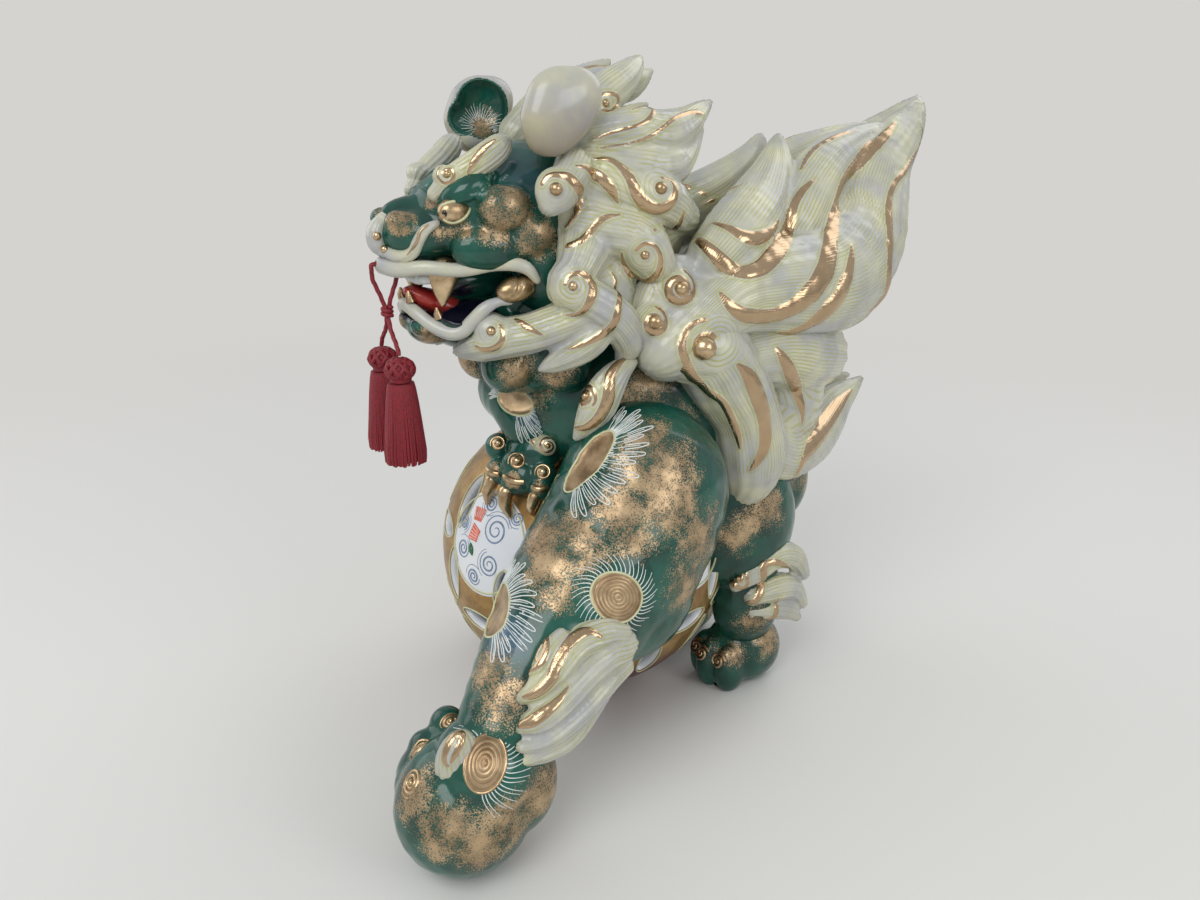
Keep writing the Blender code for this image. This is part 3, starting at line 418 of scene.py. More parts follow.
applied(ball, "SOLIDIFY", thickness=BALL_WALL * MM, offset=-1.0)
prisms, prism_faces, rims = [], [], []
SIDES = 28
for row in range(-1, 2):
    for column in range(LENSES_ROUND):
        for upright in (True, False):
            tilt, spin = (PITCH * (row if upright else row - 0.5),
                          PITCH * (column if upright else column + 0.5))
            facing_way = Euler((0, -tilt, spin)).to_matrix()
            outward = facing_way @ Vector((1, 0, 0))
            if any(outward.dot(p) > math.cos(25 / BALL_RADIUS) for p in panels) or tilt < -0.6:
                continue
            squeeze = 1.0 if upright else max(0.55, math.cos(tilt))
            outline = []
            for k in range(SIDES):
                angle = 2 * math.pi * k / SIDES
                along = LENS_HALF_LENGTH * squeeze * math.cos(angle)
                over = LENS_HALF_WIDTH * math.copysign(abs(math.sin(angle)) ** 1.25, math.sin(angle))
                outline.append((over, along) if upright else (along, over))
            first = len(prisms)
            for depth in (BALL_RADIUS + 2, BALL_RADIUS - BALL_WALL - 4):
                share = depth / BALL_RADIUS
                prisms += [facing_way @ (Vector((depth, a * share, b * share)) * MM) + BALL
                           for a, b in outline]
            for k in range(SIDES):
                m = (k + 1) % SIDES
                prism_faces.append((first + k, first + m, first + SIDES + m, first + SIDES + k))
            prism_faces += [tuple(range(first, first + SIDES)),
                            tuple(range(first + SIDES, first + 2 * SIDES))[::-1]]
            rim = []
            for a, b in outline + outline[:1]:
                out = Vector((BALL_RADIUS, a * 1.1, b * 1.06)).normalized()
                rim.append((BALL + facing_way @ out * (BALL_RADIUS + 0.05) * MM, 0.42 * MM))
            rims.append(rim)
mesh = bpy.data.meshes.new("lens_cutter")
mesh.from_pydata(prisms, [], prism_faces)
cutter = bpy.data.objects.new("lens_cutter", mesh)
bpy.context.collection.objects.link(cutter)
alone(cutter)
bpy.ops.object.mode_set(mode="EDIT")
bpy.ops.mesh.select_all(action="SELECT")
bpy.ops.mesh.normals_make_consistent(inside=False)
bpy.ops.object.mode_set(mode="OBJECT")
applied(ball, "BOOLEAN", operation="DIFFERENCE", solver="EXACT", object=cutter)
bpy.data.objects.remove(cutter)


def ground_flat(piece):
    """Cuts a piece off at the floor and closes it."""
    alone(piece)
    bpy.ops.object.mode_set(mode="EDIT")
    bpy.ops.mesh.select_all(action="SELECT")
    bpy.ops.mesh.bisect(plane_co=(0, 0, 0), plane_no=(0, 0, 1), use_fill=True, clear_inner=True)
    bpy.ops.object.mode_set(mode="OBJECT")


ground_flat(ball)

outline_slip, tree, shader = shader_of("pale_outline_slip")
spot = node(tree, "TexCoord").outputs["Object"]
cloud = node(tree, "TexNoise", {"Vector": spot, "Scale": 240, "Detail": 3})
shade = shades(tree, cloud.outputs["Fac"], (0.44, 0.44, 0.20), (0.66, 0.66, 0.46))
tree.links.new(shade, shader.inputs["Base Color"])
shader.inputs["Roughness"].default_value = 0.25


def enamel(name, dark, light):
    """A raised glassy enamel between two shades."""
    paint, tree, shader = shader_of(name)
    spot = node(tree, "TexCoord").outputs["Object"]
    cloud = node(tree, "TexNoise", {"Vector": spot, "Scale": 320, "Detail": 3})
    tree.links.new(shades(tree, cloud.outputs["Fac"], dark, light, 0.3, 0.7), shader.inputs["Base Color"])
    shader.inputs["Roughness"].default_value = 0.15
    return paint


blue_enamel = enamel("blue_enamel", (0.13, 0.19, 0.32), (0.26, 0.34, 0.47))
coral_enamel = enamel("coral_enamel", (0.62, 0.10, 0.06), (0.82, 0.22, 0.14))
leaf_enamel = enamel("leaf_enamel", (0.02, 0.10, 0.05), (0.06, 0.20, 0.09))
white_enamel = enamel("white_enamel", (0.60, 0.66, 0.66), (0.80, 0.82, 0.78))


def panel_point(panel, right, up, lift=0.0):
    """A point of the ball's skin, this many millimetres right of and above a panel's middle."""
    side_way = Vector((0, 0, 1)).cross(panel).normalized()
    up_way = panel.cross(side_way)
    out = (panel * BALL_RADIUS + side_way * right + up_way * up).normalized()
    return BALL + out * (BALL_RADIUS + lift) * MM


# Each scroll: right, up, radius, turn and way. Each half of the flower: right, up and turn.
scrolls = ((6, 8, 7.8, 0.4, 1), (6, -8.5, 6.2, 2.0, 1), (-2, 19, 4.4, 4.0, -1), (-14, -6, 5.2, 1.0, -1),
           (16, 17, 3.6, 3.0, 1), (-17, 6, 3.8, 5.0, 1), (-4, -17.5, 4.6, 0.0, -1))
SCROLL_TURNS, SCROLL_STEPS = 2.3, 45
flower_halves = ((-7.5, 12.5, 0.0), (-7.0, 3.0, 1.35))
blue, white_lines, coral, leaves, edges = [], [], [], [], []
for panel in panels:
    edges.append([(panel_point(panel, PANEL_RADIUS * math.cos(a), PANEL_RADIUS * math.sin(a)), 0.5 * MM)
                  for a in [2 * math.pi * k / 64 for k in range(65)]])
    for cx, cy, size, spin, way in scrolls:
        scroll = []
        for k in range(SCROLL_STEPS + 1):
            t = k / SCROLL_STEPS
            a, r = spin + way * t * 2 * math.pi * SCROLL_TURNS, size * (1 - 0.86 * t)
            where = panel_point(panel, cx + r * math.cos(a), cy + r * math.sin(a), -0.12)
            scroll.append((where, (0.28 + 0.24 * math.sin(math.pi * t)) * MM))
        blue.append(scroll)
        wave = []
        for k in range(13):
            a, r = spin + 2.2 * k / 12, size + 1.3
            wave.append((panel_point(panel, cx + way * r * math.cos(a), cy + r * math.sin(a), -0.14),
                         0.24 * MM))
        blue.append(wave)
    for cx, cy, turn in flower_halves:
        for k in range(-2, 3):
            petal = []
            for s in range(5):
                over, out = k * (1.0 + 0.18 * s), 1.6 * s - 3.2
                petal.append((over * math.cos(turn) - out * math.sin(turn),
                              over * math.sin(turn) + out * math.cos(turn)))
            coral.append([(panel_point(panel, cx + x, cy + y, -0.75), 1.15 * MM) for x, y in petal])
            white_lines.append([(panel_point(panel, cx + x * 1.1 + 0.5, cy + y, 0.32), 0.13 * MM)
                                for x, y in petal[1:]])
    leaves.append([(panel_point(panel, -9 + 3.4 * t, -1.5 - 6.4 * t, -0.5),
                    (0.3 + 1.5 * math.sin(math.pi * t)) * MM) for t in [k / 8 for k in range(9)]])
ball = joined([ball, round_lines("rims", rims, outline_slip), round_lines("edges", edges, outline_slip),
               round_lines("blue", blue, blue_enamel), round_lines("coral", coral, coral_enamel, 6),
               round_lines("veins", white_lines, white_enamel),
               round_lines("leaves", leaves, leaf_enamel, 2)], "openwork_ball")
finished(ball, ["ball"], "lion")

# Clay
# Every part of the lion is balls and rolls of clay pressed together and smoothed over; some are then hollowed
# or cut.


def lump(x, y, z, rx, ry=None, rz=None, turn=(0, 0, 0)):
    """A ball of clay: middle, half sizes and turn in degrees."""
    return x, y, z, rx, ry or rx, rz or rx, turn


def roll(path, flat=(1, 1, 1)):
    """A roll of clay through (x, y, z, radius) points, as closely set balls."""
    beads = []
    for a, b in zip(flowing(path, 12), flowing(path, 12)[1:]):
        if not beads or (Vector(a[:3]) - Vector(beads[-1][:3])).length > 0.3 * max(1.5, a[3]):
            beads.append(a)
    beads.append(path[-1])
    return [lump(x, y, z, *(max(r, 0.8) * f for f in flat)) for x, y, z, r in beads]


def both(shapes):
    """Shapes and their mirror images across the lion's midline."""
    return list(shapes) + [(-x, y, z, a, b, c, (t[0], -t[1], -t[2])) for x, y, z, a, b, c, t in shapes]


def pressed(name, shapes, grain, soften, finish=None):
    """Balls of clay pressed into one closed skin and smoothed over."""
    bpy.ops.object.select_all(action="DESELECT")
    for k, (x, y, z, a, b, c, turn) in enumerate(shapes):
        bpy.ops.mesh.primitive_ico_sphere_add(subdivisions=3, radius=1, location=on_figure(x, y, z),
                                              rotation=[math.radians(t) for t in turn],
                                              scale=(a * MM, b * MM, c * MM))
        if k == 0:
            bpy.ops.object.transform_apply(location=True, rotation=True, scale=True)
            bpy.ops.object.mode_set(mode="EDIT")
    bpy.ops.object.mode_set(mode="OBJECT")
    piece = bpy.context.object
    piece.name = name
    applied(piece, "REMESH", mode="VOXEL", voxel_size=grain * MM)
    applied(piece, "SMOOTH", factor=0.5, iterations=soften)
    if finish:
        piece.data.materials.append(finish)
    return piece


def cut_away(piece, tool, grain, soften=2):
    """Cuts a tool's shape out of a piece and softens the edge that it leaves."""
    applied(piece, "BOOLEAN", operation="DIFFERENCE", solver="EXACT", object=tool)
    applied(piece, "REMESH", mode="VOXEL", voxel_size=grain * MM)
    applied(piece, "SMOOTH", factor=0.5, iterations=soften)
    return piece


def skin_of(piece):
    return BVHTree.FromPolygons([v.co for v in piece.data.vertices],
                                [p.vertices for p in piece.data.polygons])


def seen(skin, u, v):
    """The spot on a skin that a point of the picture shows, or comes nearest to, and the normal there."""
    right, down = (u - PICTURE_WIDTH / 2) / FOCAL_LENGTH, (v - PICTURE_HEIGHT / 2) / FOCAL_LENGTH
    way = (AHEAD + ACROSS * right - UPWARD * down).normalized()
    hit = skin.ray_cast(STAND, way)
    if hit[0] is None:
        hit = min((skin.find_nearest(STAND + way * (0.28 + 0.004 * k)) for k in range(95)),
                  key=lambda near: (near[0] - STAND).cross(way).length)
    return hit[0], hit[1]


def read(piece, name, otherwise):
    """A number that each point of a piece keeps, or another where it keeps none."""
    values = np.full(len(piece.data.vertices), otherwise, np.float32)
    if piece.data.attributes.get(name):
        piece.data.attributes[name].data.foreach_get("value", values)
    return values


def measured(piece, name, values):
    """Keeps a number for each point of a piece, for its glaze to read."""
    attribute = piece.data.attributes.get(name) or piece.data.attributes.new(name, "FLOAT", "POINT")
    attribute.data.foreach_set("value", np.asarray(values, np.float32))


def points_of(piece):
    spots = np.empty(len(piece.data.vertices) * 3, np.float32)
    piece.data.vertices.foreach_get("co", spots)
    return spots.reshape(-1, 3).astype(float)


def normals_of(piece):
    normals = np.empty(len(piece.data.vertices) * 3, np.float32)
    piece.data.vertices.foreach_get("normal", normals)
    return normals.reshape(-1, 3)


def moved(piece, spots):
    piece.data.vertices.foreach_set("co", np.asarray(spots, np.float32).ravel())
    piece.data.update()


def sponged(piece, dabs):
    """Gold sponged on round (u, v, full radius, faded radius) of the picture, or (x, y, z, full, faded)."""
    skin, spots = skin_of(piece), points_of(piece)
    strength = np.zeros(len(spots))
    for dab in dabs:
        middle = seen(skin, *dab[:2])[0] if len(dab) == 4 else on_figure(*dab[:3])
        far = np.linalg.norm(spots - np.array(middle), axis=1) / MM
        strength = np.maximum(strength, np.clip((dab[-1] - far) / (dab[-1] - dab[-2]), 0, 1))
    measured(piece, "sponge", strength)
    return piece


# Green glaze
# Clear dark green glaze with clouds in it. Gold is sponged over it in soft-edged patches and painted in the
# roundels.
green, tree, shader = shader_of("green_glaze")
spot = node(tree, "TexCoord").outputs["Object"]
cloud = node(tree, "TexNoise", {"Vector": spot, "Scale": 42, "Detail": 4, "Roughness": 0.6})
shade = shades(tree, cloud.outputs["Fac"], (0.004, 0.034, 0.024), (0.014, 0.120, 0.082), 0.34, 0.72)
sponge = node(tree, "Attribute", attribute_name="sponge").outputs["Fac"]
grain = node(tree, "TexNoise", {"Vector": spot, "Scale": 1500, "Detail": 3, "Roughness": 0.8}).outputs["Fac"]
dabs = node(tree, "TexNoise", {"Vector": spot, "Scale": 105, "Detail": 4, "Roughness": 0.62}).outputs["Fac"]
level = node(tree, "Math", {0: grain, 1: 3.0, 2: -1.5}, operation="MULTIPLY_ADD").outputs[0]
level = node(tree, "Math", {0: sponge, 1: 0.60, 2: level}, operation="MULTIPLY_ADD").outputs[0]
level = node(tree, "Math", {0: dabs, 1: 1.5, 2: level}, operation="MULTIPLY_ADD").outputs[0]
speckle = node(tree, "MapRange", {"Value": level, "From Min": 1.15, "From Max": 1.25}).outputs["Result"]
reached = node(tree, "MapRange", {"Value": sponge, "From Min": 0.0, "From Max": 0.06}).outputs["Result"]
speckle = node(tree, "Math", {0: speckle, 1: reached}, operation="MULTIPLY").outputs[0]
dish = node(tree, "Attribute", attribute_name="dish").outputs["Fac"]
painted = node(tree, "MapRange", {"Value": dish, "From Min": 0.0, "From Max": 0.15}).outputs["Result"]
gold = node(tree, "Math", {0: speckle, 1: painted}, operation="MAXIMUM").outputs[0]
ringed = node(tree, "Attribute", attribute_name="ringed").outputs["Fac"]
ring = node(tree, "Math", {0: dish, 1: 4.6}, operation="MULTIPLY").outputs[0]
ring = node(tree, "Math", {0: ring}, operation="SINE").outputs[0]
ring = node(tree, "Math", {0: ring, 1: ringed}, operation="MULTIPLY").outputs[0]
gold_shade = shades(tree, dabs, (0.23, 0.145, 0.075), (0.54, 0.39, 0.23), 0.34, 0.66)
ring_dark = node(tree, "MapRange", {"Value": ring, "From Min": -1.0, "From Max": -0.3, "To Min": 0.45,
                                    "To Max": 0.0})
gold_colour = node(tree, "Mix", {0: ring_dark.outputs["Result"], 6: gold_shade, 7: (0.16, 0.09, 0.04, 1)},
                   data_type="RGBA").outputs[2]
wash = node(tree, "Attribute", attribute_name="wash").outputs["Fac"]
washed = node(tree, "Mix", {0: wash, 6: shade, 7: (0.07, 0.13, 0.19, 1)}, data_type="RGBA").outputs[2]
colour = node(tree, "Mix", {0: gold, 6: washed, 7: gold_colour}, data_type="RGBA").outputs[2]
mouth = node(tree, "Attribute", attribute_name="mouth").outputs["Fac"]
colour = node(tree, "Mix", {0: mouth, 6: colour, 7: (0.006, 0.006, 0.016, 1)}, data_type="RGBA").outputs[2]
tree.links.new(colour, shader.inputs["Base Color"])
metal = node(tree, "Math", {0: gold, 1: 0.75}, operation="MULTIPLY").outputs[0]
tree.links.new(metal, shader.inputs["Metallic"])
rough = node(tree, "MapRange", {"Value": gold, "To Min": 0.14, "To Max": 0.36}).outputs["Result"]
tree.links.new(rough, shader.inputs["Roughness"])
lift = node(tree, "Math", {0: speckle, 1: ring}, operation="ADD").outputs[0]
roughened(tree, shader, lift, 0.35, 0.0002)


def ridge(line, sink=0.4):
    """A round strand sunk into the skin by this share of its radius."""
    return [(where - outward * thick * sink * MM, thick * MM) for where, outward, thick in line]


def laid(skin, drawn, steps=8, smooth=0):
    """A line drawn on the picture as (u, v, radius) points, laid on a skin and made smooth."""
    placed = [(*seen(skin, u, v)[0], thick) for u, v, thick in drawn]
    line = []
    for x, y, z, thick in flowing(placed, steps):
        where, outward = skin.find_nearest((x, y, z))[:2]
        line.append([where, outward, max(thick, 0.12)])
    for _ in range(smooth):
        for k in range(1, len(line) - 1):
            line[k][0] = (line[k - 1][0] + line[k][0] * 2 + line[k + 1][0]) / 4
            line[k][1] = (line[k - 1][1] + line[k][1] * 2 + line[k + 1][1]).normalized()
    return line


def flat_on(skin, middle, outward):
    """A drawing board that touches a skin: gives the skin's point under (right, up), in millimetres."""
    right = (ACROSS - outward * ACROSS.dot(outward)).normalized()
    up = outward.cross(right)

    def under(x, y):
        start = middle + (right * x + up * y) * MM
        hit = skin.ray_cast(start + outward * 12 * MM, -outward)
        if hit[0] is None or (hit[0] - start).length > 14 * MM:
            hit = skin.find_nearest(start)
        return hit[0], hit[1]
    return under, right, up


def roundel(piece, u, v, long, wide, tilt, depth, rings=0.0):
    """Presses an oval dish, or raises a ringed disc, round a point of the picture."""
    skin = skin_of(piece)
    middle, outward = seen(skin, u, v)
    right, up = flat_on(skin, middle, outward)[1:]
    spots = points_of(piece)
    way = spots - np.array(middle)
    flat = np.stack([way @ np.array(right), way @ np.array(up)], 1) / MM
    turn = math.radians(tilt)
    along = flat[:, 0] * math.cos(turn) + flat[:, 1] * math.sin(turn)
    over = -flat[:, 0] * math.sin(turn) + flat[:, 1] * math.cos(turn)
    share = np.sqrt((along / long) ** 2 + (over / wide) ** 2)
    near = np.abs(way @ np.array(outward)) < 0.014
    inside = np.where(near, (1 - share) * min(long, wide), -9)
    measured(piece, "ringed", np.where(inside > 0, rings, read(piece, "ringed", 0)))
    measured(piece, "dish", np.maximum(read(piece, "dish", -9), inside))
    push = np.where(inside > 0, np.sqrt(np.clip(1 - share ** 2, 0, 1)), 0) * depth * MM
    moved(piece, spots - np.outer(push, np.array(outward)))
    under = flat_on(skin_of(piece), middle, outward)[0]

    def on_oval(angle, out=0.0, skew=0.0):
        a = math.radians(angle)
        x = (long + out) * math.cos(a) - skew * math.sin(a)
        y = (wide + out) * math.sin(a) + skew * math.cos(a)
        return under(x * math.cos(turn) - y * math.sin(turn), x * math.sin(turn) + y * math.cos(turn))
    rim = [(*on_oval(360 * k / 48), 0.55) for k in range(49)]
    return on_oval, rim


def fringe(on_oval, first, last, count, length, swirl, looped):
    """Trailed lines round an oval, between two angles: scalloped loops, or single hairs that bend one way."""
    lines = []
    for k in range(count):
        angle = first + (last - first) * (k + 0.5) / count
        half = 0.5 * (last - first) / count
        reach = length * (0.9 + 0.12 * math.sin(2.4 * k))
        if looped:
            loop = []
            for s in range(17):
                t = s / 16
                out = reach * min(1, math.sin(math.pi * t) ** 0.45 * 1.02)
                at = angle + half * 0.86 * (2 * t - 1) * (0.62 + 0.38 * out / reach)
                loop.append((*on_oval(at, 0.4 + out, swirl * (out / reach) ** 1.6), 0.30))
            lines.append(loop)
            vein = [0.78 * s / 6 for s in range(7)]
            lines.append([(*on_oval(angle + 0.1 * half, 0.6 + reach * t, swirl * t ** 1.6), 0.2)
                          for t in vein])
        else:
            hair = [s / 7 for s in range(8)]
            lines.append([(*on_oval(angle, 0.5 + reach * t, swirl * t ** 1.7), 0.30 - 0.17 * t)
                          for t in hair])
    return lines


# Trunk and throat
# The body is cast hollow and open below through a firing vent. The throat hangs in folds under the jaw.
trunk = pressed("trunk_body", roll([(0, -10, 158, 35), (0, 16, 158, 43), (0, 48, 144, 39), (0, 78, 122, 39)])
                + [lump(0, 94, 102, 32, 24, 32)], 2.2, 6, green)
hollow = pressed("hollow", roll([(0, 4, 166, 19), (0, 30, 160, 21), (0, 52, 146, 22), (0, 74, 118, 22)])
                 + roll([(0, 74, 118, 6), (0, 73, 90, 5), (0, 72, 60, 5)]), 2.2, 2)
cut_away(trunk, hollow, 2.0)
trunk_dabs = [(645, 396, 7, 20), (662, 431, 8, 22), (0, -50, 168, 8, 26), (-30, 60, 160, 12, 34),
              (20, 100, 110, 10, 26), (-38, 10, 165, 10, 28), (30, 110, 120, 8, 20)]
sponged(trunk, trunk_dabs)
finished(trunk, ["trunk"])
bpy.data.objects.remove(hollow)
throat_clay = ([lump(0, -40, 190, 30, 26, 26)]
               + both([lump(13, -57, 181, 13, 11, 12), lump(25, -36, 182, 12, 12, 13)]))
throat = pressed("throat_folds", throat_clay, 1.4, 4, green)
throat_dabs = [(517, 376, 4, 13), (558, 376, 3, 10), (-13, -66, 178, 4, 13)]
sponged(throat, throat_dabs)
finished(throat, ["throat"])

# Standing foreleg
# The left foreleg reaches forward to its knuckled foot. Three gilt roundels with trailed white fringes are on
# it, two sunk as dishes and one raised.
foreleg = pressed("left_foreleg_clay", [lump(44, -8, 128, 32, 38, 38), lump(56, -28, 88, 29, 38, 35)]
                  + roll([(46, -8, 124, 40), (52, -24, 104, 41), (62, -52, 86, 34), (75, -78, 67, 26),
                          (84, -94, 52, 22), (86, -100, 44, 19)], (0.85, 1, 1)), 1.25, 8, green)
foreleg_dabs = [(660, 470, 10, 24), (670, 500, 9, 22), (622, 512, 7, 17), (572, 544, 9, 18),
                (542, 540, 7, 15), (550, 562, 8, 15), (556, 592, 5, 12), (632, 534, 4, 14), (688, 585, 7, 18),
                (650, 440, 5, 16), (490, 668, 6, 13), (500, 700, 4, 14), (700, 540, 6, 20),
                (40, 26, 110, 10, 26), (60, -60, 60, 6, 24)]
sponged(foreleg, foreleg_dabs)
# Each roundel: u, v, half length, half width, tilt, depth and rings. Its fringe: first and last angle, count,
# length, swirl, and whether it is looped.
foreleg_roundels = ((588, 461, 15.5, 6.6, 48, 2.0, 0.0, -150, 22, 17, 13.5, 3.0, True),
                    (495, 609, 12.5, 9.0, 78, 2.2, 0.0, -185, 10, 17, 11.0, -2.5, True),
                    (618, 598, 11.8, 9.6, -30, -0.5, 1.0, -175, 185, 44, 6.6, 4.2, False))
trails, rims = [], []
for u, v, long, wide, tilt, depth, rings, *hairs in foreleg_roundels:
    on_oval, rim = roundel(foreleg, u, v, long, wide, tilt, depth, rings)
    rims.append(ridge(rim, 0.2))
    trails += [ridge(line, 0.1) for line in fringe(on_oval, *hairs)]


def tinted(piece, middles, full, reach, strength):
    """Washes a thin grey-blue over a piece round some points, fading out over this reach."""
    away = np.min([np.linalg.norm(points_of(piece) - np.array(m), axis=1) for m in middles], axis=0) / MM
    measured(piece, "wash", np.clip(full - away / reach, 0, 1) * strength)


shin = (505, 640)
tinted(foreleg, [seen(skin_of(foreleg), *shin)[0]], 1.5, 8.5, 0.9)
foreleg = joined([foreleg, round_lines("rims", rims, outline_slip, 2),
                  round_lines("trails", trails, white_enamel, 0)], "left_foreleg_clay")
finished(foreleg, ["left_foreleg"])

# Standing forefoot
# Toes with gilt ribbed spirals on their knuckles, pressed on the end of the leg. Its sole is ground flat.
forefoot_clay = [lump(82.5, -112, 28, 26, 28, 28.5), lump(87, -104, 46, 21.5, 21, 20),
                 lump(88, -94, 36, 17, 18, 24), lump(66.7, -119, 31.5, 15, 15, 16),
                 lump(62.5, -109, 40, 12, 12, 13), lump(69, -128, 33, 7.5, 7.5, 8.5),
                 lump(60.7, -119, 41.5, 7.5, 7.5, 8), lump(59, -109, 48, 7.5, 7.5, 8)]
forefoot = pressed("left_forefoot_clay", forefoot_clay, 1.0, 9, green)
ground_flat(forefoot)
forefoot_dabs = [(509, 825, 6, 17), (536, 802, 7, 18), (444, 832, 7, 16), (481, 852, 6, 14),
                 (410, 793, 5, 14), (555, 775, 8, 20), (488, 677, 9, 15), (60, -110, 20, 10, 24),
                 (84, -90, 20, 10, 24)]
sponged(forefoot, forefoot_dabs)
foot_disc = (485, 763)
on_oval, rim = roundel(forefoot, *foot_disc, 10.4, 7.6, 80, -0.6, 1.0)
trails = [ridge(line, 0.1) for line in fringe(on_oval, -175, 95, 34, 8.5, 5.0, False)]
knuckles = []
skin = skin_of(forefoot)


def winding(skin, u, v, size, turns, start, way, thick, end=0.2, squash=1.0, tilt=0.0):
    """A band that winds in on a skin round a point of the picture, from size millimetres to its middle."""
    middle, outward = seen(skin, u, v)
    under = flat_on(skin, middle, outward)[0]
    line, steps, turn = [], int(22 * turns), math.radians(tilt)
    for k in range(steps + 1):
        t = k / steps
        a, r = math.radians(start) + way * turns * 2 * math.pi * t, size * (1 - (1 - end) * t)
        x, y = r * math.cos(a), r * math.sin(a) * squash
        where, normal = under(x * math.cos(turn) - y * math.sin(turn),
                              x * math.sin(turn) + y * math.cos(turn))
        line.append((where, normal, thick * (0.35 + 0.65 * min(1, 3 * t)) * (1 - 0.3 * t)))
    return line, middle, outward


def knob(middle, outward, size):
    """A round boss of this radius that stands out of the skin."""
    return [(middle + outward * size * MM * (0.9 * math.sin(a)), size * MM * math.cos(a))
            for a in [math.radians(-20 + 108 * k / 7) for k in range(8)]]


toe_spirals = ((451, 721, 4.4, 30, 0.7), (420, 748, 5.6, 30, 0.72), (411, 783, 5.6, 65, 0.85))
for u, v, size, tilt, squash in toe_spirals:
    line, middle, outward = winding(skin, u, v, size, 2.6, 200, -1, 0.95, 0.15, squash, tilt)
    knuckles += [ridge(line, 0.15), knob(middle, outward, 1.3)]
forefoot = joined([forefoot, round_lines("rim", [ridge(rim, 0.2)], gilt, 2),
                   round_lines("trails", trails, white_enamel, 0),
                   round_lines("knuckles", knuckles, gilt, 2)], "left_forefoot_clay")
finished(forefoot, ["left_forefoot"])

# Hind legs
# Two thick legs under the rump, each with a foot of three toes. The two sides are pressed in the same mould.


def mirrored(piece, name, node_name):
    """A copy of a finished piece on the other side of the lion."""
    bpy.ops.object.select_all(action="DESELECT")
    twin = piece.copy()
    twin.data = piece.data.copy()
    twin.name = twin.data.name = name
    bpy.context.collection.objects.link(twin)
    twin.parent = None
    for key in list(twin.keys()):
        if key.startswith("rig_"):
            del twin[key]
    spots = points_of(twin)
    spots[:, 0] = -2 * FOOTPRINT.x * MM - spots[:, 0]
    moved(twin, spots)
    twin.data.flip_normals()
    return finished(twin, [node_name])


hind_leg = pressed("left_hind_leg_clay", [lump(26, 62, 90, 24, 32, 38), lump(31, 66, 48, 16, 19, 30)], 1.5, 8,
                   green)
hind_leg_dabs = [(770, 508, 4, 15), (735, 536, 3, 14), (752, 520, 3, 12), (44, 60, 40, 3, 12)]
sponged(hind_leg, hind_leg_dabs)
finished(hind_leg, ["left_hind_leg"])
mirrored(hind_leg, "right_hind_leg_clay", "right_hind_leg")
hind_foot_clay = [lump(28, 68, 16, 18, 21, 19), lump(28, 58, 13, 16, 13, 15),
                  lump(18.5, 51, 12, 6.5, 9, 13.5), lump(28, 48, 12, 7, 9, 14),
                  lump(38, 52, 12, 6.5, 9, 13.5)]
hind_foot = pressed("left_hind_foot_clay", hind_foot_clay, 1.1, 4, green)
ground_flat(hind_foot)
hind_foot_dabs = [(770, 640, 4, 14), (735, 655, 2, 9), (28, 48, 18, 2, 9), (16, 78, 20, 4, 14)]
sponged(hind_foot, hind_foot_dabs)
skin, curls = skin_of(hind_foot), []
toe_ends = ((18.5, 42, 19), (28, 39, 20), (38, 43, 19))
for x, y, z in toe_ends:
    outward = (on_figure(x, y, z) - on_figure(28, 64, 8)).normalized()
    middle = skin.ray_cast(on_figure(x, y, z) + outward * 0.02, -outward)[0]
    under = flat_on(skin, middle, outward)[0]
    curl = [(*under(4.4 * (1 - t) * math.cos(14 * t), 4.4 * (1 - t) * math.sin(14 * t)), 0.8)
            for t in [k / 40 for k in range(41)]]
    curls.append(ridge(curl, 0.15))
hind_foot = joined([hind_foot, round_lines("curls", curls, gilt, 2)], "left_hind_foot_clay")
finished(hind_foot, ["left_hind_foot"])
mirrored(hind_foot, "right_hind_foot_clay", "right_hind_foot")

# Cream slip
# Manes, tufts and tail are dipped in cream glaze. Fine yellow-green hair lines run along the locks, beside
# the gold bands.
cream, tree, shader = shader_of("cream_slip")
spot = node(tree, "TexCoord").outputs["Object"]
cloud = node(tree, "TexNoise", {"Vector": spot, "Scale": 55, "Detail": 4, "Roughness": 0.55}).outputs["Fac"]
base = shades(tree, cloud, (0.40, 0.405, 0.41), (0.56, 0.55, 0.40), 0.36, 0.66)
hair = node(tree, "Attribute", attribute_name="hair").outputs["Fac"]
waver = node(tree, "TexNoise", {"Vector": spot, "Scale": 120, "Detail": 2}).outputs["Fac"]
hair = node(tree, "Math", {0: waver, 1: 0.9, 2: hair}, operation="MULTIPLY_ADD").outputs[0]
line = node(tree, "Math", {0: hair, 1: 0.95}, operation="PINGPONG").outputs[0]
line = node(tree, "MapRange", {"Value": line, "From Min": 0.16, "From Max": 0.42, "To Min": 1.0,
                               "To Max": 0.0}).outputs["Result"]
patchy = node(tree, "TexNoise", {"Vector": spot, "Scale": 75, "Detail": 3}).outputs["Fac"]
patchy = node(tree, "MapRange", {"Value": patchy, "From Min": 0.38, "From Max": 0.60, "To Min": 0.12,
                                 "To Max": 0.72}).outputs["Result"]
drawn = node(tree, "Attribute", attribute_name="drawn").outputs["Fac"]
ink = node(tree, "Math", {0: line, 1: patchy}, operation="MULTIPLY").outputs[0]
ink = node(tree, "Math", {0: ink, 1: drawn}, operation="MULTIPLY").outputs[0]
colour = node(tree, "Mix", {0: ink, 6: base, 7: (0.36, 0.36, 0.085, 1)}, data_type="RGBA").outputs[2]
# Painted shade: the ears' outsides are browned, faintly at the top and more towards the bottom, to stand in
# for shade.
painted_ear_shade = node(tree, "Attribute", attribute_name="painted_ear_shade").outputs["Fac"]
colour = node(tree, "Mix", {0: painted_ear_shade, 6: colour, 7: (0.20, 0.13, 0.06, 1)}, data_type="RGBA").outputs[2]
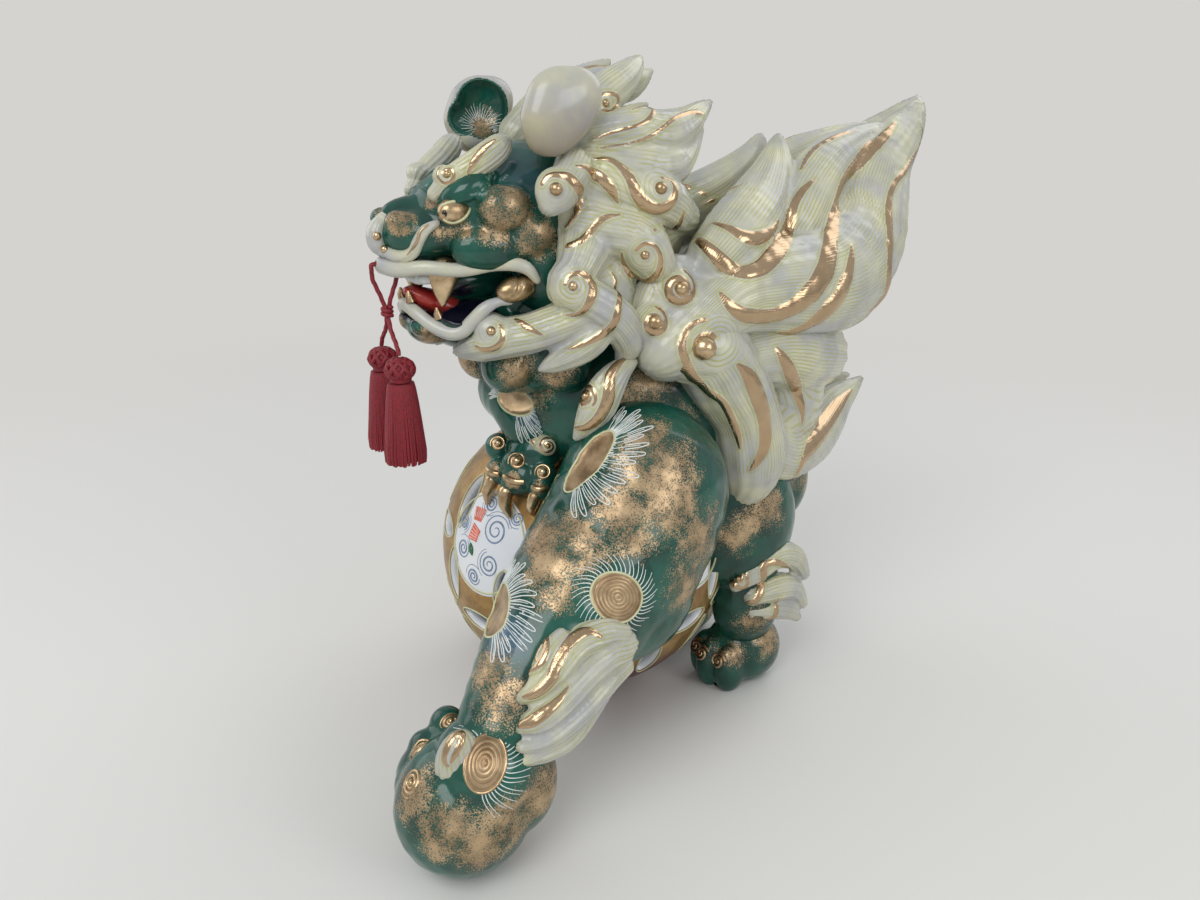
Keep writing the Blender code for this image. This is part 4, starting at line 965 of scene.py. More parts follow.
# The "gold" attribute is 5 at the edge of a band, and grows by one for each millimetre into it.
gold = node(tree, "Attribute", attribute_name="gold").outputs["Fac"]
beside = node(tree, "Math", {0: gold, 1: 4.0, 2: 0.4}, operation="COMPARE").outputs[0]
beside = node(tree, "Math", {0: beside, 1: 0.45}, operation="MULTIPLY").outputs[0]
colour = node(tree, "Mix", {0: beside, 6: colour, 7: (0.40, 0.41, 0.12, 1)}, data_type="RGBA").outputs[2]
gold = node(tree, "MapRange", {"Value": gold, "From Min": 4.88, "From Max": 5.12}).outputs["Result"]
leaf = shades(tree, cloud, (0.36, 0.24, 0.13), (0.64, 0.48, 0.31))
colour = node(tree, "Mix", {0: gold, 6: colour, 7: leaf}, data_type="RGBA").outputs[2]
tree.links.new(colour, shader.inputs["Base Color"])
tree.links.new(gold, shader.inputs["Metallic"])
roughened(tree, shader, ink, 0.3, 0.00025, invert=True)
shader.inputs["Roughness"].default_value = 0.2


def combed(piece, locks, curls=(), flute=8.0, depth=0.35, valley=0.7):
    """Draws hairs along the locks of a piece and round its curls, and presses shallow grooves beside them.

    Each point follows the lock that it lies nearest to, round that lock's own line. Where two locks meet
    there is a valley."""
    spots = points_of(piece)
    every = np.arange(len(spots))
    scores, strands = [], []
    for number, lock in enumerate(locks):
        line = np.array([(*on_figure(x, y, z), r * MM) for x, y, z, r in flowing(lock, 5)])
        spine, thick = line[:, :3], line[:, 3]
        along = np.gradient(spine, axis=0)
        along /= np.linalg.norm(along, axis=1, keepdims=True)
        side = np.array([1.0 if spine[:, 0].mean() > -FOOTPRINT.x * MM else -1.0, 0, 0.05])
        outward = side - along * (along @ side)[:, None]
        outward /= np.linalg.norm(outward, axis=1, keepdims=True)
        about = np.cross(along, outward)
        score = np.stack([np.linalg.norm(spots - middle, axis=1) - 0.9 * r
                          for middle, r in zip(spine, thick)])
        near = score.argmin(0)
        way = spots - spine[near]
        angle = np.arctan2((way * about[near]).sum(1), (way * outward[near]).sum(1))
        scores.append(score[near, every])
        strands.append(angle * thick.max() / MM + 5.3 * number)
    scores = np.array(scores)
    best = scores.argmin(0)
    hair = np.array(strands)[best, every]
    scores.sort(0)
    gap = (scores[1] - scores[0]) / MM if len(locks) > 1 else np.full(len(spots), 9.0)
    drawn = np.clip(gap / 1.2, 0, 1)
    press = (0.5 * depth * (np.cos(2 * math.pi * hair / flute) - 1) * drawn
             - valley * np.exp(-(gap / 1.8) ** 2))
    for middle, size in curls:
        away = np.linalg.norm(spots - np.array(middle), axis=1) / MM
        within = away < size
        hair, drawn = (np.where(within, away, hair),
                       np.where(within, np.clip((size - away) / 0.8, 0, 1), drawn))
        press = press * np.clip((away - size) / 2, 0, 1)
    measured(piece, "hair", hair)
    measured(piece, "drawn", drawn)
    measured(piece, "press", press)
    moved(piece, spots + normals_of(piece) * press[:, None] * MM)


def opposite(line):
    """A laid line on the lion's other side."""
    flip = Vector((-2 * FOOTPRINT.x * MM, 0, 0))
    return [(Vector((-where.x, where.y, where.z)) + flip, Vector((-outward.x, outward.y, outward.z)), thick)
            for where, outward, thick in line]


def gilded(piece, skin, bands, windings=(), mirror=False, swell=1.0, bosses=(), lift=0.3):
    """Lays gold bands and windings on a combed piece as low rounded ribs, and sets gold bosses on it."""
    lines, knobs = ([laid(skin, band, 4, 3) for band in bands],
                    [(*seen(skin, u, v)[:2], r) for u, v, r in bosses])
    for u, v, size, turns, start, way, thick, boss in windings:
        line, middle, outward = winding(skin, u, v, size, turns, start, way, thick, 0.2)
        lines.append(line)
        knobs.append((middle, outward, boss))
    if mirror:
        lines += [opposite(line) for line in lines]
        knobs += [(*opposite([(middle, outward, 0)])[0][:2], boss) for middle, outward, boss in knobs]
    spots = points_of(piece)
    into, rise = np.full(len(spots), -4.0), np.zeros(len(spots))
    for line in lines:
        track = np.array([where for where, _, _ in line])
        near = np.nonzero(((spots > track.min(0) - 9 * MM) & (spots < track.max(0) + 9 * MM)).all(1))[0]
        for (a, outward, wide), (b, _, next_wide) in zip(line, line[1:]):
            step = np.array(b - a)
            way = spots[near] - np.array(a)
            above = way @ np.array(outward)
            way -= (above * np.exp(-(above / (3 * MM)) ** 4))[:, None] * np.array(outward)
            t = np.clip(way @ step / max(step @ step, 1e-12), 0, 1)
            radius = (wide + (next_wide - wide) * t) * swell
            depth = radius - np.linalg.norm(way - t[:, None] * step, axis=1) / MM
            better = depth > into[near]
            into[near[better]] = depth[better]
            height = lift * radius * np.sqrt(np.clip(1 - (1 - depth / radius) ** 2, 0, 1)) * (depth > 0)
            rise[near[better]] = height[better]
    measured(piece, "gold", into + 5)
    rise -= read(piece, "press", 0) * np.clip(into / 0.6 + 1, 0, 1)
    moved(piece, spots + normals_of(piece) * rise[:, None] * MM)
    return joined([piece, round_lines("gold", [knob(*k) for k in knobs], gilt, 3)],
                  piece.name) if knobs else piece


# Mane
# Locks of clay in two handed halves and a crest between them, each ending in a flame tip or a gilt snail
# curl. Locks are (x, y, z, radius) points, and gold bands are (u, v, half width) points of the picture.


def rolls(locks, flat=(1, 1, 1)):
    """The clay of several locks."""
    return [bead for lock in locks for bead in roll(lock, flat)]


mane_locks = [[(22, -32, 274, 9), (22, -16, 288, 9), (17, -1, 297, 6.5), (13, 8, 304, 1.8)],
              [(28, -22, 274, 8), (33, -9, 275, 10), (34, 4, 273, 11), (31, 18, 277, 8), (27, 29, 283, 4.5),
               (25, 36, 287, 1.6)],
              [(30, -24, 266, 9), (34, -8, 263, 11), (36, 4, 262, 11), (33, 15, 266, 8), (29, 27, 276, 3.5)],
              [(36, -22, 258, 10), (41, -8, 252, 10), (42, 2, 249, 10), (37, 12, 244, 8)],
              [(33, -26, 240, 13), (40, -12, 236, 12), (42, -4, 227, 10), (40, 4, 217, 7)],
              [(20, 10, 246, 14), (22, 24, 240, 9), (19, 33, 240, 2)],
              [(36, -36, 262, 8), (40, -42, 256, 7), (39, -48, 249, 5)],
              [(34, -30, 232, 12), (40, -37, 224, 9), (41, -43, 217, 8), (44, -34, 212, 9), (45, -22, 203, 9),
               (42, -14, 192, 7), (41, -18, 184, 2)],
              [(42, -24, 205, 9), (41, -34, 194, 8), (38, -45, 187, 5), (36, -52, 184, 1.8)],
              [(40, -34, 206, 9), (33, -52, 199, 8.5), (26, -64, 196, 8.5), (20, -72, 193, 7),
               (13, -78, 190, 3)]]
under_locks = [lump(27, -17, 246, 17, 25, 32), lump(30, -24, 212, 14, 20, 24), lump(16, 6, 236, 15, 22, 34)]
curl_ends = [lump(39, -45, 254, 6.5, 9.5, 9.5), lump(40, 1, 250, 9, 11, 11), lump(43, -9, 229, 8.5, 8, 8),
             lump(42, -41, 217, 8.5, 9, 9), lump(23, -68, 199, 8, 8, 8)]
mane = pressed("left_mane_locks", under_locks + rolls(mane_locks) + curl_ends, 0.9, 4, cream)
skin = skin_of(mane)
mane_curls = [(556, 189, 8.5, 2.6), (661, 188, 9.5, 2.6), (645, 255, 8, 1.9), (573, 286, 8, 1.9),
              (491, 331, 7.5, 2.0), (606, 103, 6, 1.6)]
combed(mane, mane_locks, [(seen(skin, u, v)[0], size) for u, v, size, boss in mane_curls], 6.0, 0.5)
mane_bands = [[(542, 184, 0.8), (546, 177, 1.0), (556, 174, 1.2), (570, 177, 1.7), (578, 188, 2.0),
               (581, 202, 1.8), (575, 218, 1.2), (566, 228, 0.5)],
              [(592, 158, 0.5), (608, 160, 1.2), (620, 166, 1.5), (629, 176, 1.9), (636, 192, 2.3),
               (646, 206, 2.7), (660, 210, 2.5), (672, 202, 2.0), (676, 188, 1.3), (671, 180, 0.8),
               (662, 178, 0.7)], [(654, 230, 0.7), (668, 229, 1.5), (680, 220, 1.3), (684, 210, 0.4)],
              [(622, 252, 0.4), (624, 266, 1.1), (632, 276, 1.5), (646, 281, 1.8), (658, 272, 1.6),
               (661, 258, 1.1), (656, 246, 0.8), (644, 243, 0.8), (636, 250, 0.8)],
              [(565, 284, 0.8), (570, 275, 0.9), (582, 273, 1.2), (592, 282, 1.6), (592, 296, 1.8),
               (586, 308, 1.4), (576, 314, 1.1), (566, 315, 0.4)],
              [(576, 166, 0.5), (592, 172, 1.7), (604, 180, 2.0), (612, 190, 1.8), (618, 202, 0.5)],
              [(568, 246, 1.2), (580, 242, 1.4), (590, 232, 1.4), (598, 222, 1.3), (608, 216, 0.9),
               (620, 215, 0.4)], [(611, 272, 0.4), (616, 286, 0.8), (618, 302, 1.3), (616, 318, 1.6),
                                  (606, 332, 1.7), (592, 340, 1.4), (578, 346, 0.9), (566, 350, 0.3)],
              [(516, 320, 0.8), (528, 328, 1.3), (544, 336, 0.3)],
              [(500, 325, 0.6), (504, 338, 1.1), (496, 348, 1.3), (484, 350, 1.0), (476, 346, 0.5)],
              [(632, 110, 0.3), (640, 108, 0.6), (650, 106, 0.8), (654, 112, 0.9), (646, 122, 0.8),
               (630, 128, 0.7), (610, 133, 0.6), (592, 140, 0.4)],
              [(704, 115, 0.5), (698, 112, 1.1), (686, 114, 1.2), (672, 120, 0.8), (660, 130, 0.7),
               (640, 140, 0.6), (620, 146, 0.5), (600, 148, 0.3)],
              [(598, 96, 0.6), (608, 93, 0.8), (618, 96, 0.8), (618, 105, 0.8), (612, 111, 0.8),
               (603, 110, 0.7)]]
mane = gilded(mane, skin_of(mane), mane_bands, bosses=[(u, v, boss) for u, v, size, boss in mane_curls])
finished(mane, ["left_mane"])
mirrored(mane, "right_mane_locks", "right_mane")


def sides(locks):
    """Locks and their mirror images across the lion's midline."""
    return locks + [[(-x, y, z, r) for x, y, z, r in lock] for lock in locks]


crest_top = sides([[(8, -30, 276, 10), (10, -6, 284, 12), (9, 12, 284, 11), (4, 24, 296, 4)]])
crest_back = sides([[(8, 12, 270, 13), (10, 18, 244, 13), (5, 20, 214, 10)]])
crest_clay = [lump(0, -16, 272, 16, 18, 18), lump(0, 8, 250, 16, 16, 28), lump(0, 14, 218, 18, 14, 26)]
crest_ridge = roll([(0, -26, 282, 10), (0, -8, 291, 10), (0, 10, 294, 7), (0, 22, 300, 2)])
crest = pressed("mane_crest_locks", crest_clay + crest_ridge, 1.2, 4, cream)
combed(crest, crest_top + crest_back, (), 6.0, 0.5, 0.4)
skin = skin_of(crest)
crest_bands = sides([[(8, 20, 276, 0.8), (11, 26, 256, 2.0), (9, 29, 236, 2.2), (4, 30, 214, 1.8),
                      (1, 30, 200, 0.6)]])
crest_bands.append([(0, -40, 280, 0.6), (0, -30, 295, 1.5), (0, -10, 303, 1.8), (0, 8, 303, 0.6)])
crest_bands = [[(*skin.find_nearest(on_figure(x, y, z))[:2], r) for x, y, z, r in flowing(band, 8)]
               for band in crest_bands]
crest = joined([crest, round_lines("gold", [ridge(line, 0.5) for line in crest_bands], gilt, 3)],
               "mane_crest_locks")
finished(crest, ["mane_crest"])

# Tail
# A plume of three masses, pressed in a two-piece mould, so that its two sides are alike. Broad gold bands
# sweep up it.
upper_locks = sides([[(44, 4, 188, 15), (44, 31, 206, 19), (42, 50, 208.5, 21.5), (36, 77.5, 207.5, 26),
                      (28, 104, 210, 30), (20, 127, 223, 28), (13, 139, 239.5, 25), (9, 151, 256, 19),
                      (6, 165, 267.5, 14.4), (4, 176, 276.5, 10.4), (2, 184, 285.3, 6.2),
                      (0, 188.8, 292.8, 2)],
                     [(42, 29, 222, 14), (34, 47, 231.5, 16.5), (22, 67.5, 242.5, 15),
                      (14, 80.5, 253.5, 11.3), (9, 87.5, 263, 7.6), (7, 89.5, 270, 4.3), (6, 90, 273.5, 1.4)],
                     [(26, 84, 233.7, 16.8), (18, 100.7, 248.5, 15.3), (11, 118.7, 260, 13.2),
                      (7, 137.6, 268, 10), (4, 155, 273.6, 6.6)]])
plume_clay = [lump(0, 62, 196, 34, 40, 30), lump(0, 104, 214, 24, 34, 30)]
plume_curls = both([lump(40, 10, 200, 13, 22, 27), lump(46, 6, 213, 9, 9, 9), lump(47, 20, 190, 11, 11, 11),
                    lump(46, -7, 200, 8, 8, 9)])
plume = pressed("tail_plume_locks", plume_clay + rolls(upper_locks) + plume_curls, 1.4, 4, cream)
middle_locks = sides([[(44, 24, 180, 14), (38, 62, 180, 18.5), (32, 85, 175, 21), (24, 105.5, 170, 18)],
                      [(38, 56, 136, 16), (32, 78.5, 124.5, 16), (24, 103, 124.3, 15.5),
                       (16, 122.3, 129.8, 13.3), (11, 136.2, 136.4, 9.7), (8, 148.8, 141.3, 6),
                       (5, 161, 145.2, 1.9)]])
middle_clay = [lump(0, 96, 160, 28, 30, 24)] + both([lump(26, 84, 150, 20, 24, 26)])
middle_plume = pressed("tail_middle_locks", middle_clay + rolls(middle_locks), 1.4, 4, cream)
lower_locks = sides([[(47, 12, 186, 14), (46, 24, 185, 18), (44, 36, 170.5, 19), (42, 49, 152, 17),
                      (41, 55, 132.5, 17.5), (40, 56, 117, 12.5), (39, 51, 105.5, 4)]])
lower_clay = [lump(0, 70, 140, 34, 26, 26)] + both([lump(28, 58, 138, 18, 22, 26)])
lower_plume = pressed("tail_lower_locks", lower_clay + rolls(lower_locks), 1.4, 4, cream)
whorls = ((50, 3, 216, 9), (58, 19, 192, 13), (-50, 3, 216, 9), (-58, 19, 192, 13))
rounds = [(on_figure(x, y, z), r) for x, y, z, r in whorls]
for part, locks in ((plume, upper_locks), (middle_plume, middle_locks), (lower_plume, lower_locks)):
    combed(part, locks, rounds, 9.0, 0.6, 1.0)


def shared_skin(parts):
    """One skin over several pieces."""
    spots, faces = [], []
    for part in parts:
        faces += [tuple(i + len(spots) for i in p.vertices) for p in part.data.polygons]
        spots += [v.co.copy() for v in part.data.vertices]
    return BVHTree.FromPolygons(spots, faces)


tail_skin = shared_skin([plume, middle_plume, lower_plume])
# Each curl: u, v, radius, turns, start, way, half width of the band, radius of the boss.
tail_curls = [(681, 288, 7.5, 1.5, 70, -1, 2.1, 2.8), (655, 322, 6.0, 1.2, 80, -1, 1.9, 3.2),
              (704, 348, 11.5, 1.35, 90, 1, 2.6, 5.4)]
plume_bands = [[(721, 294, 1.0), (730, 307, 2.4), (746, 316, 3.2), (771, 316, 3.6), (794, 307, 4.4),
                (813, 290, 5.1), (826, 269, 4.8), (830, 240, 3.4), (834, 211, 2.8), (840, 185, 2.4),
                (851, 169, 3.0), (868, 152, 3.4), (884, 137, 2.4), (895, 123, 0.8)],
               [(690, 238, 0.8), (698, 240, 1.8), (711, 250, 2.6), (725, 265, 3.2), (744, 273, 3.0),
                (763, 267, 3.6), (778, 250, 4.0), (788, 227, 3.4), (794, 206, 2.0), (803, 190, 1.6),
                (815, 179, 0.6)], [(713, 223, 0.8), (730, 229, 1.8), (746, 238, 2.8), (761, 238, 2.8),
                                   (774, 229, 1.8), (778, 221, 0.8)],
               [(767, 338, 0.6), (788, 334, 2.0), (813, 321, 4.0), (834, 303, 4.8), (847, 277, 3.2),
                (851, 257, 1.6), (851, 244, 0.6)],
               [(855, 334, 0.4), (872, 319, 2.4), (882, 298, 3.0), (888, 273, 2.8), (890, 248, 2.6),
                (889, 223, 2.4), (889, 198, 1.6), (895, 181, 1.4), (909, 165, 1.6), (920, 144, 1.0),
                (921, 123, 0.4)], [(801, 169, 0.8), (813, 150, 1.4), (834, 137, 1.2), (857, 131, 0.4)],
               [(700, 206, 0.4), (717, 198, 1.2), (734, 190, 1.2), (744, 183, 0.4)]]
plume = gilded(plume, tail_skin, plume_bands, tail_curls, True)
finished(plume, ["tail_plume"])
middle_bands = [[(776, 349, 1.0), (784, 361, 2.8), (794, 382, 3.0), (801, 403, 2.0), (802, 424, 0.6)],
                [(851, 390, 0.8), (836, 407, 3.6), (822, 428, 4.4), (809, 449, 3.8), (799, 468, 2.2),
                 (790, 480, 0.6)]]
middle_plume = gilded(middle_plume, tail_skin, middle_bands, (), True)
finished(middle_plume, ["tail_middle_plume"])
lower_bands = [[(684, 332, 1.2), (682, 353, 2.0), (690, 374, 2.4), (705, 390, 2.0), (721, 399, 1.8),
                (730, 415, 1.8), (738, 436, 1.6), (740, 449, 0.6)],
               [(738, 365, 1.0), (751, 378, 3.6), (759, 399, 4.0), (765, 420, 3.4), (765, 445, 3.0),
                (757, 462, 1.8), (750, 470, 0.6)],
               [(650, 332, 0.8), (663, 353, 1.8), (675, 367, 1.8), (688, 373, 0.8)]]
lower_plume = gilded(lower_plume, tail_skin, lower_bands, (), True)
finished(lower_plume, ["tail_lower_plume"])

# Tufts
# Smaller tufts of the same cream clay are luted on the chest, elbow, foot and hocks. The one on the wrist
# comes with the raised foreleg. Each curl: u, v, radius, turns, start, way, half width of the band, radius of
# the boss.
chest_lock = [(43, -11.8, 183.4, 2.1), (44, -19.3, 180.7, 5.4), (44, -25.1, 174.6, 7.9),
              (43, -28.8, 167.5, 8.6), (42, -33.1, 160.5, 6.3), (41, -38.4, 154, 2.1)]
tuft = pressed("left_chest_tuft_lock", roll(chest_lock, (0.8, 1, 1)), 0.7, 4, cream)
chest_curl = (585, 396, 5.0, 1.7, -60, 1, 1.2, 1.6)
chest_bands = [[(624, 360, 0.8), (612, 370, 1.5), (609, 384, 1.9), (608, 400, 2.2), (600, 417, 2.0),
                (588, 427, 1.4), (577, 428, 0.8)]]
combed(tuft, [chest_lock], [(seen(skin_of(tuft), *chest_curl[:2])[0], 6.5)], 4.0, 0.4)
tuft = gilded(tuft, skin_of(tuft), chest_bands, [chest_curl], swell=1.2)
finished(tuft, ["left_chest_tuft"])
mirrored(tuft, "right_chest_tuft_lock", "right_chest_tuft")

elbow_locks = [[(88, -46, 86, 6), (91, -56, 90, 7), (92, -67, 89, 7), (94, -77, 82.5, 7), (95, -85, 77.5, 6),
                (95, -92, 75.5, 2.5)], [(89, -46, 79, 7), (93, -55, 81, 7.5), (95, -66, 77, 7.5),
                                        (98, -77, 72, 7.5), (100, -87, 68, 6.5), (99.5, -94, 66, 3)],
               [(89, -46, 73, 6.5), (92, -53, 72, 7), (95, -63, 67, 7), (99, -76, 63, 7), (101, -87, 60, 6),
                (102, -95.5, 60, 3)], [(88, -48, 69, 5), (91, -56, 66, 6), (95, -66, 60, 6),
                                       (98.5, -75, 56, 6), (101.5, -86, 55, 5), (103, -95, 54.5, 2.5)],
               [(90, -72, 93, 4), (91, -76, 90, 5), (93, -82, 85, 4.5), (94, -88, 80, 2)]]
elbow_clay = [lump(87, -43, 80, 6, 7, 8), lump(92, -68, 74, 8, 20, 13, (-35, 0, 0))]
tuft = pressed("elbow_tuft_lock", elbow_clay + rolls(elbow_locks), 0.8, 3, cream)
elbow_bands = [[(524, 697, 0.7), (536, 693, 1.5), (551, 679, 1.9), (558, 660, 2.0), (570, 642, 2.0),
                (583, 631, 1.7), (592, 632, 1.3), (601, 637, 0.6)],
               [(520, 725, 1.2), (533, 721, 1.9), (547, 710, 1.6), (560, 699, 1.0), (568, 688, 0.5)],
               [(530, 672, 0.6), (541, 664, 1.2), (547, 648, 1.3), (545, 635, 1.2), (537, 640, 1.2),
                (533, 653, 1.0), (537, 661, 0.6)]]
combed(tuft, elbow_locks, (), 3.6, 0.5, 0.8)
tuft = gilded(tuft, skin_of(tuft), elbow_bands, swell=1.1)
finished(tuft, ["left_elbow_tuft"])

foot_lock = [(88, -117, 66, 4), (90, -117, 60, 6), (91, -117, 53, 7.5), (90, -118, 46, 5), (89, -119, 42, 2)]
tuft = pressed("foot_tuft_lock", [lump(90, -117, 54.5, 7, 8.5, 13.5, (-10, 10, 0))], 0.7, 3, cream)
foot_bands = [[(448, 766, 0.6), (444, 758, 1.2), (449, 743, 1.5), (458, 732, 1.4), (463, 737, 1.3),
               (457, 751, 1.2), (451, 762, 0.6)]]
combed(tuft, [foot_lock], (), 3.2, 0.4)
tuft = gilded(tuft, skin_of(tuft), foot_bands)
finished(tuft, ["left_paw_tuft"])

hock_locks = [[(42, 50, 62, 3.5), (43, 60, 67.5, 6.5), (43, 73, 73.5, 7.5), (42, 86, 69, 6.7),
               (41, 95, 57, 4)], [(43, 60, 54, 5.6), (43, 73, 55, 8), (42, 86, 51.5, 7), (41, 95, 40, 4)],
              [(43, 60, 46, 4), (43, 73, 44, 6.2), (42, 86, 38.5, 5.2), (41, 93, 32, 2.7)]]
tuft = pressed("left_hind_tuft_lock", rolls(hock_locks, (0.9, 1, 1)), 0.8, 4, cream)
hock_curl = (738, 579, 5.0, 1.5, 60, -1, 1.2, 1.6)
hock_bands = [[(747, 602, 0.7), (758, 600, 1.6), (761, 582, 1.7), (762, 568, 1.6), (771, 562, 1.5),
               (782, 563, 1.1), (790, 568, 0.5)],
              [(751, 618, 0.7), (766, 619, 1.5), (776, 614, 1.5), (778, 599, 0.6)]]
combed(tuft, hock_locks, [(seen(skin_of(tuft), *hock_curl[:2])[0], 6.0)], 4.5, 0.5)
tuft = gilded(tuft, skin_of(tuft), hock_bands, [hock_curl], swell=1.2)
finished(tuft, ["left_hind_tuft"])
mirrored(tuft, "right_hind_tuft_lock", "right_hind_tuft")

# Head
# The skull and the jaw are pressed clay with the mouth cut out. They are green outside and blue-black in the
# mouth.
skull_clay = [lump(0, -44, 244, 31, 33, 28.5), lump(0, -68, 216, 8, 17, 9), lump(0, -84, 237, 19, 21, 12),
              lump(0, -66, 243, 26, 26, 20), lump(0, -86, 245, 7.5, 17, 7)]
cheek_clay = both([lump(22, -66, 232, 9, 17, 10), lump(9, -99.5, 242.5, 4.6, 5, 4.4),
                   lump(27, -62, 247, 7.5, 11, 9), lump(26, -50, 237, 7.5, 9, 10),
                   lump(17, -74, 255, 10, 12, 6, (30, 0, 0)), lump(8, -97, 240, 6.5, 7, 6.5),
                   lump(20, -42, 222, 12, 14, 20)])
skull = pressed("cranium_clay", skull_clay + cheek_clay, 0.9, 5, green)
mouth_room = both([lump(36, -78, 212.5, 30, 25, 10.5)])
mouth_room += [lump(0, -93, 212.5, 24, 13, 9.5), lump(0, -96.5, 221, 5.4, 4.6, 7)]
mouth = pressed("mouth", mouth_room, 0.9, 2)
cut_away(skull, mouth, 0.9, 3)
mouth_skin = skin_of(mouth)


def darkened(piece):
    """Marks the walls of the mouth for the dark glaze."""
    near = np.array([mouth_skin.find_nearest(v.co)[3] for v in piece.data.vertices])
    measured(piece, "mouth", np.clip((1.6 * MM - near) / (0.5 * MM), 0, 1))


def furrowed(piece, lines, wide, deep):
    """Presses round-bottomed furrows along lines laid on a piece. A negative depth raises folds."""
    tree = KDTree(sum(len(line) for line in lines))
    count = 0
    for line in lines:
        for entry in line:
            tree.insert(entry[0], count)
            count += 1
    tree.balance()
    away = np.array([tree.find(v.co)[2] for v in piece.data.vertices]) / MM
    push = deep * MM * np.clip(1 - (away / wide) ** 2, 0, 1)
    moved(piece, points_of(piece) - normals_of(piece) * push[:, None])


skin = skin_of(skull)
forehead_folds = [[(445, 205, 1), (462, 200, 1), (480, 196, 1), (496, 188, 1)],
                  [(494, 188, 1), (500, 180, 1), (507, 172, 1), (512, 164, 1)],
                  [(484, 190, 1), (489, 181, 1), (496, 172, 1)],
                  [(437, 202, 1), (428, 195, 1), (420, 190, 1)]]
folds = [laid(skin, fold) for fold in forehead_folds]
furrowed(skull, folds + [opposite(fold) for fold in folds], 1.6, -0.9)
skull_dabs = [(509, 205, 8.5, 13), (540, 239, 6, 11.5), (528, 221, 2, 8.5), (485, 232, 1.5, 6),
              (466, 231, 1.5, 5), (437, 231, 0.5, 4.5), (450, 232, 0.5, 4), (500, 235, 1, 7),
              (402, 220, 5.5, 7), (432, 201, 3, 4.5), (-27, -62, 247, 9, 13), (-27, -46, 237, 6, 12),
              (-8, -97, 242, 5, 7)]
sponged(skull, skull_dabs)
darkened(skull)
temple_wash = ((520, 163), (532, 178), (515, 175))
washes = [seen(skin, u, v)[0] for u, v in temple_wash]
washes += [opposite([(where, where, 0)])[0][0] for where in washes]
tinted(skull, washes, 1.25, 8, 0.3)
finished(skull, ["cranium"])
jaw_clay = [lump(0, -84, 199, 12, 11, 8), lump(0, -66, 199, 21, 20, 12), lump(0, -46, 204, 24, 14, 16)]
jaw_clay += both([lump(16, -72, 202, 9, 15, 8, (-12, 0, 0)), lump(7, -91, 201, 6, 5, 5)])
jaw = pressed("lower_jaw_clay", jaw_clay, 0.8, 4, green)
cut_away(jaw, mouth, 0.8)
jaw_dabs = [(432, 338, 5, 9), (-7, -93, 199, 4, 8)]
sponged(jaw, jaw_dabs)
darkened(jaw)
finished(jaw, ["lower_jaw"])
bpy.data.objects.remove(mouth)

# Tongue, teeth and fangs
# The tongue is red with a groove down its middle. The front teeth are white, and the fangs and the mouth
# corners gilt.
tongue_red, tree, shader = shader_of("tongue_red")
spot = node(tree, "TexCoord").outputs["Object"]
cloud = node(tree, "TexNoise", {"Vector": spot, "Scale": 160, "Detail": 4}).outputs["Fac"]
tree.links.new(shades(tree, cloud, (0.23, 0.014, 0.014), (0.44, 0.045, 0.035), 0.35, 0.7),
               shader.inputs["Base Color"])
shader.inputs["Roughness"].default_value = 0.22
tongue_roll = roll([(0, -64, 206, 7), (0, -76, 206, 8), (0, -85, 210, 7.5), (0, -92, 214, 4)],
                   (1.15, 1, 0.55))
tongue = pressed("tongue_clay", tongue_roll, 0.6, 4, tongue_red)
skin = skin_of(tongue)
groove = [(*skin.find_nearest(on_figure(0, -66 - 1.3 * k, 214 + 0.014 * (k - 2) ** 2))[:2], 1)
          for k in range(19)]
furrowed(tongue, [groove], 2.2, 1.0)
finished(tongue, ["tongue"])
teeth_roll = both(roll([(0, -91.5, 219.5, 2.3), (6, -90.5, 219.5, 2.5), (11, -86.5, 220, 2.3)]))
teeth = pressed("front_teeth_row", teeth_roll, 0.45, 2, white_enamel)
skin = skin_of(teeth)
gaps = [[(*skin.find_nearest(on_figure(x, -97 + 0.02 * x * x, z))[:2], 1) for z in (214, 216, 218, 220, 222)]
        for x in (-9.3, -5.6, -1.9, 1.9, 5.6, 9.3)]
furrowed(teeth, gaps, 0.8, 0.7)
finished(teeth, ["front_teeth"])
fang_roll = roll([(15.5, -83.5, 222.5, 6.2), (16, -84.5, 216.5, 4), (16, -85, 210, 1)], (0.55, 1.1, 1))
fang = pressed("left_fang_tooth", fang_roll, 0.4, 3, gilt)
finished(fang, ["left_fang"])
mirrored(fang, "right_fang_tooth", "right_fang")
corner = pressed("left_mouth_corner_boss", [lump(26.5, -57.5, 215.5, 5.5, 9.2, 5.4, (8, 0, 4))], 0.5, 3, gilt)
corner_crease = [(517, 272, 1), (520, 280, 1), (519, 290, 1), (514, 297, 1)]
furrowed(corner, [laid(skin_of(corner), corner_crease)], 1.3, 0.5)
finished(corner, ["left_mouth_corner"])
mirrored(corner, "right_mouth_corner_boss", "right_mouth_corner")

# Lips and nose
# Cream rolls of clay laid round the mouth. The nose scroll curls round the nostrils and is dotted with gold.
upper_roll = roll([(0, -103, 225, 3.8), (8, -99.5, 224, 3.4), (16, -91, 225, 3), (21.5, -79, 224, 2.9),
                   (25.5, -65, 226, 3), (29, -55, 224.5, 2.8), (30, -50, 219, 1.8)])
upper = pressed("upper_lip_roll", both(upper_roll), 0.6, 4, cream)
CORD_HOLE = 1.35        # radius
bpy.ops.object.select_all(action="DESELECT")
bpy.ops.mesh.primitive_cylinder_add(vertices=48, radius=CORD_HOLE * MM, depth=0.03,
                                    location=on_figure(0, LIP_Y, LIP_TOP), rotation=(math.pi / 2, 0, 0))
drill = bpy.context.object
applied(upper, "BOOLEAN", operation="DIFFERENCE", solver="EXACT", object=drill)
bpy.data.objects.remove(drill)
finished(upper, ["upper_lip"])
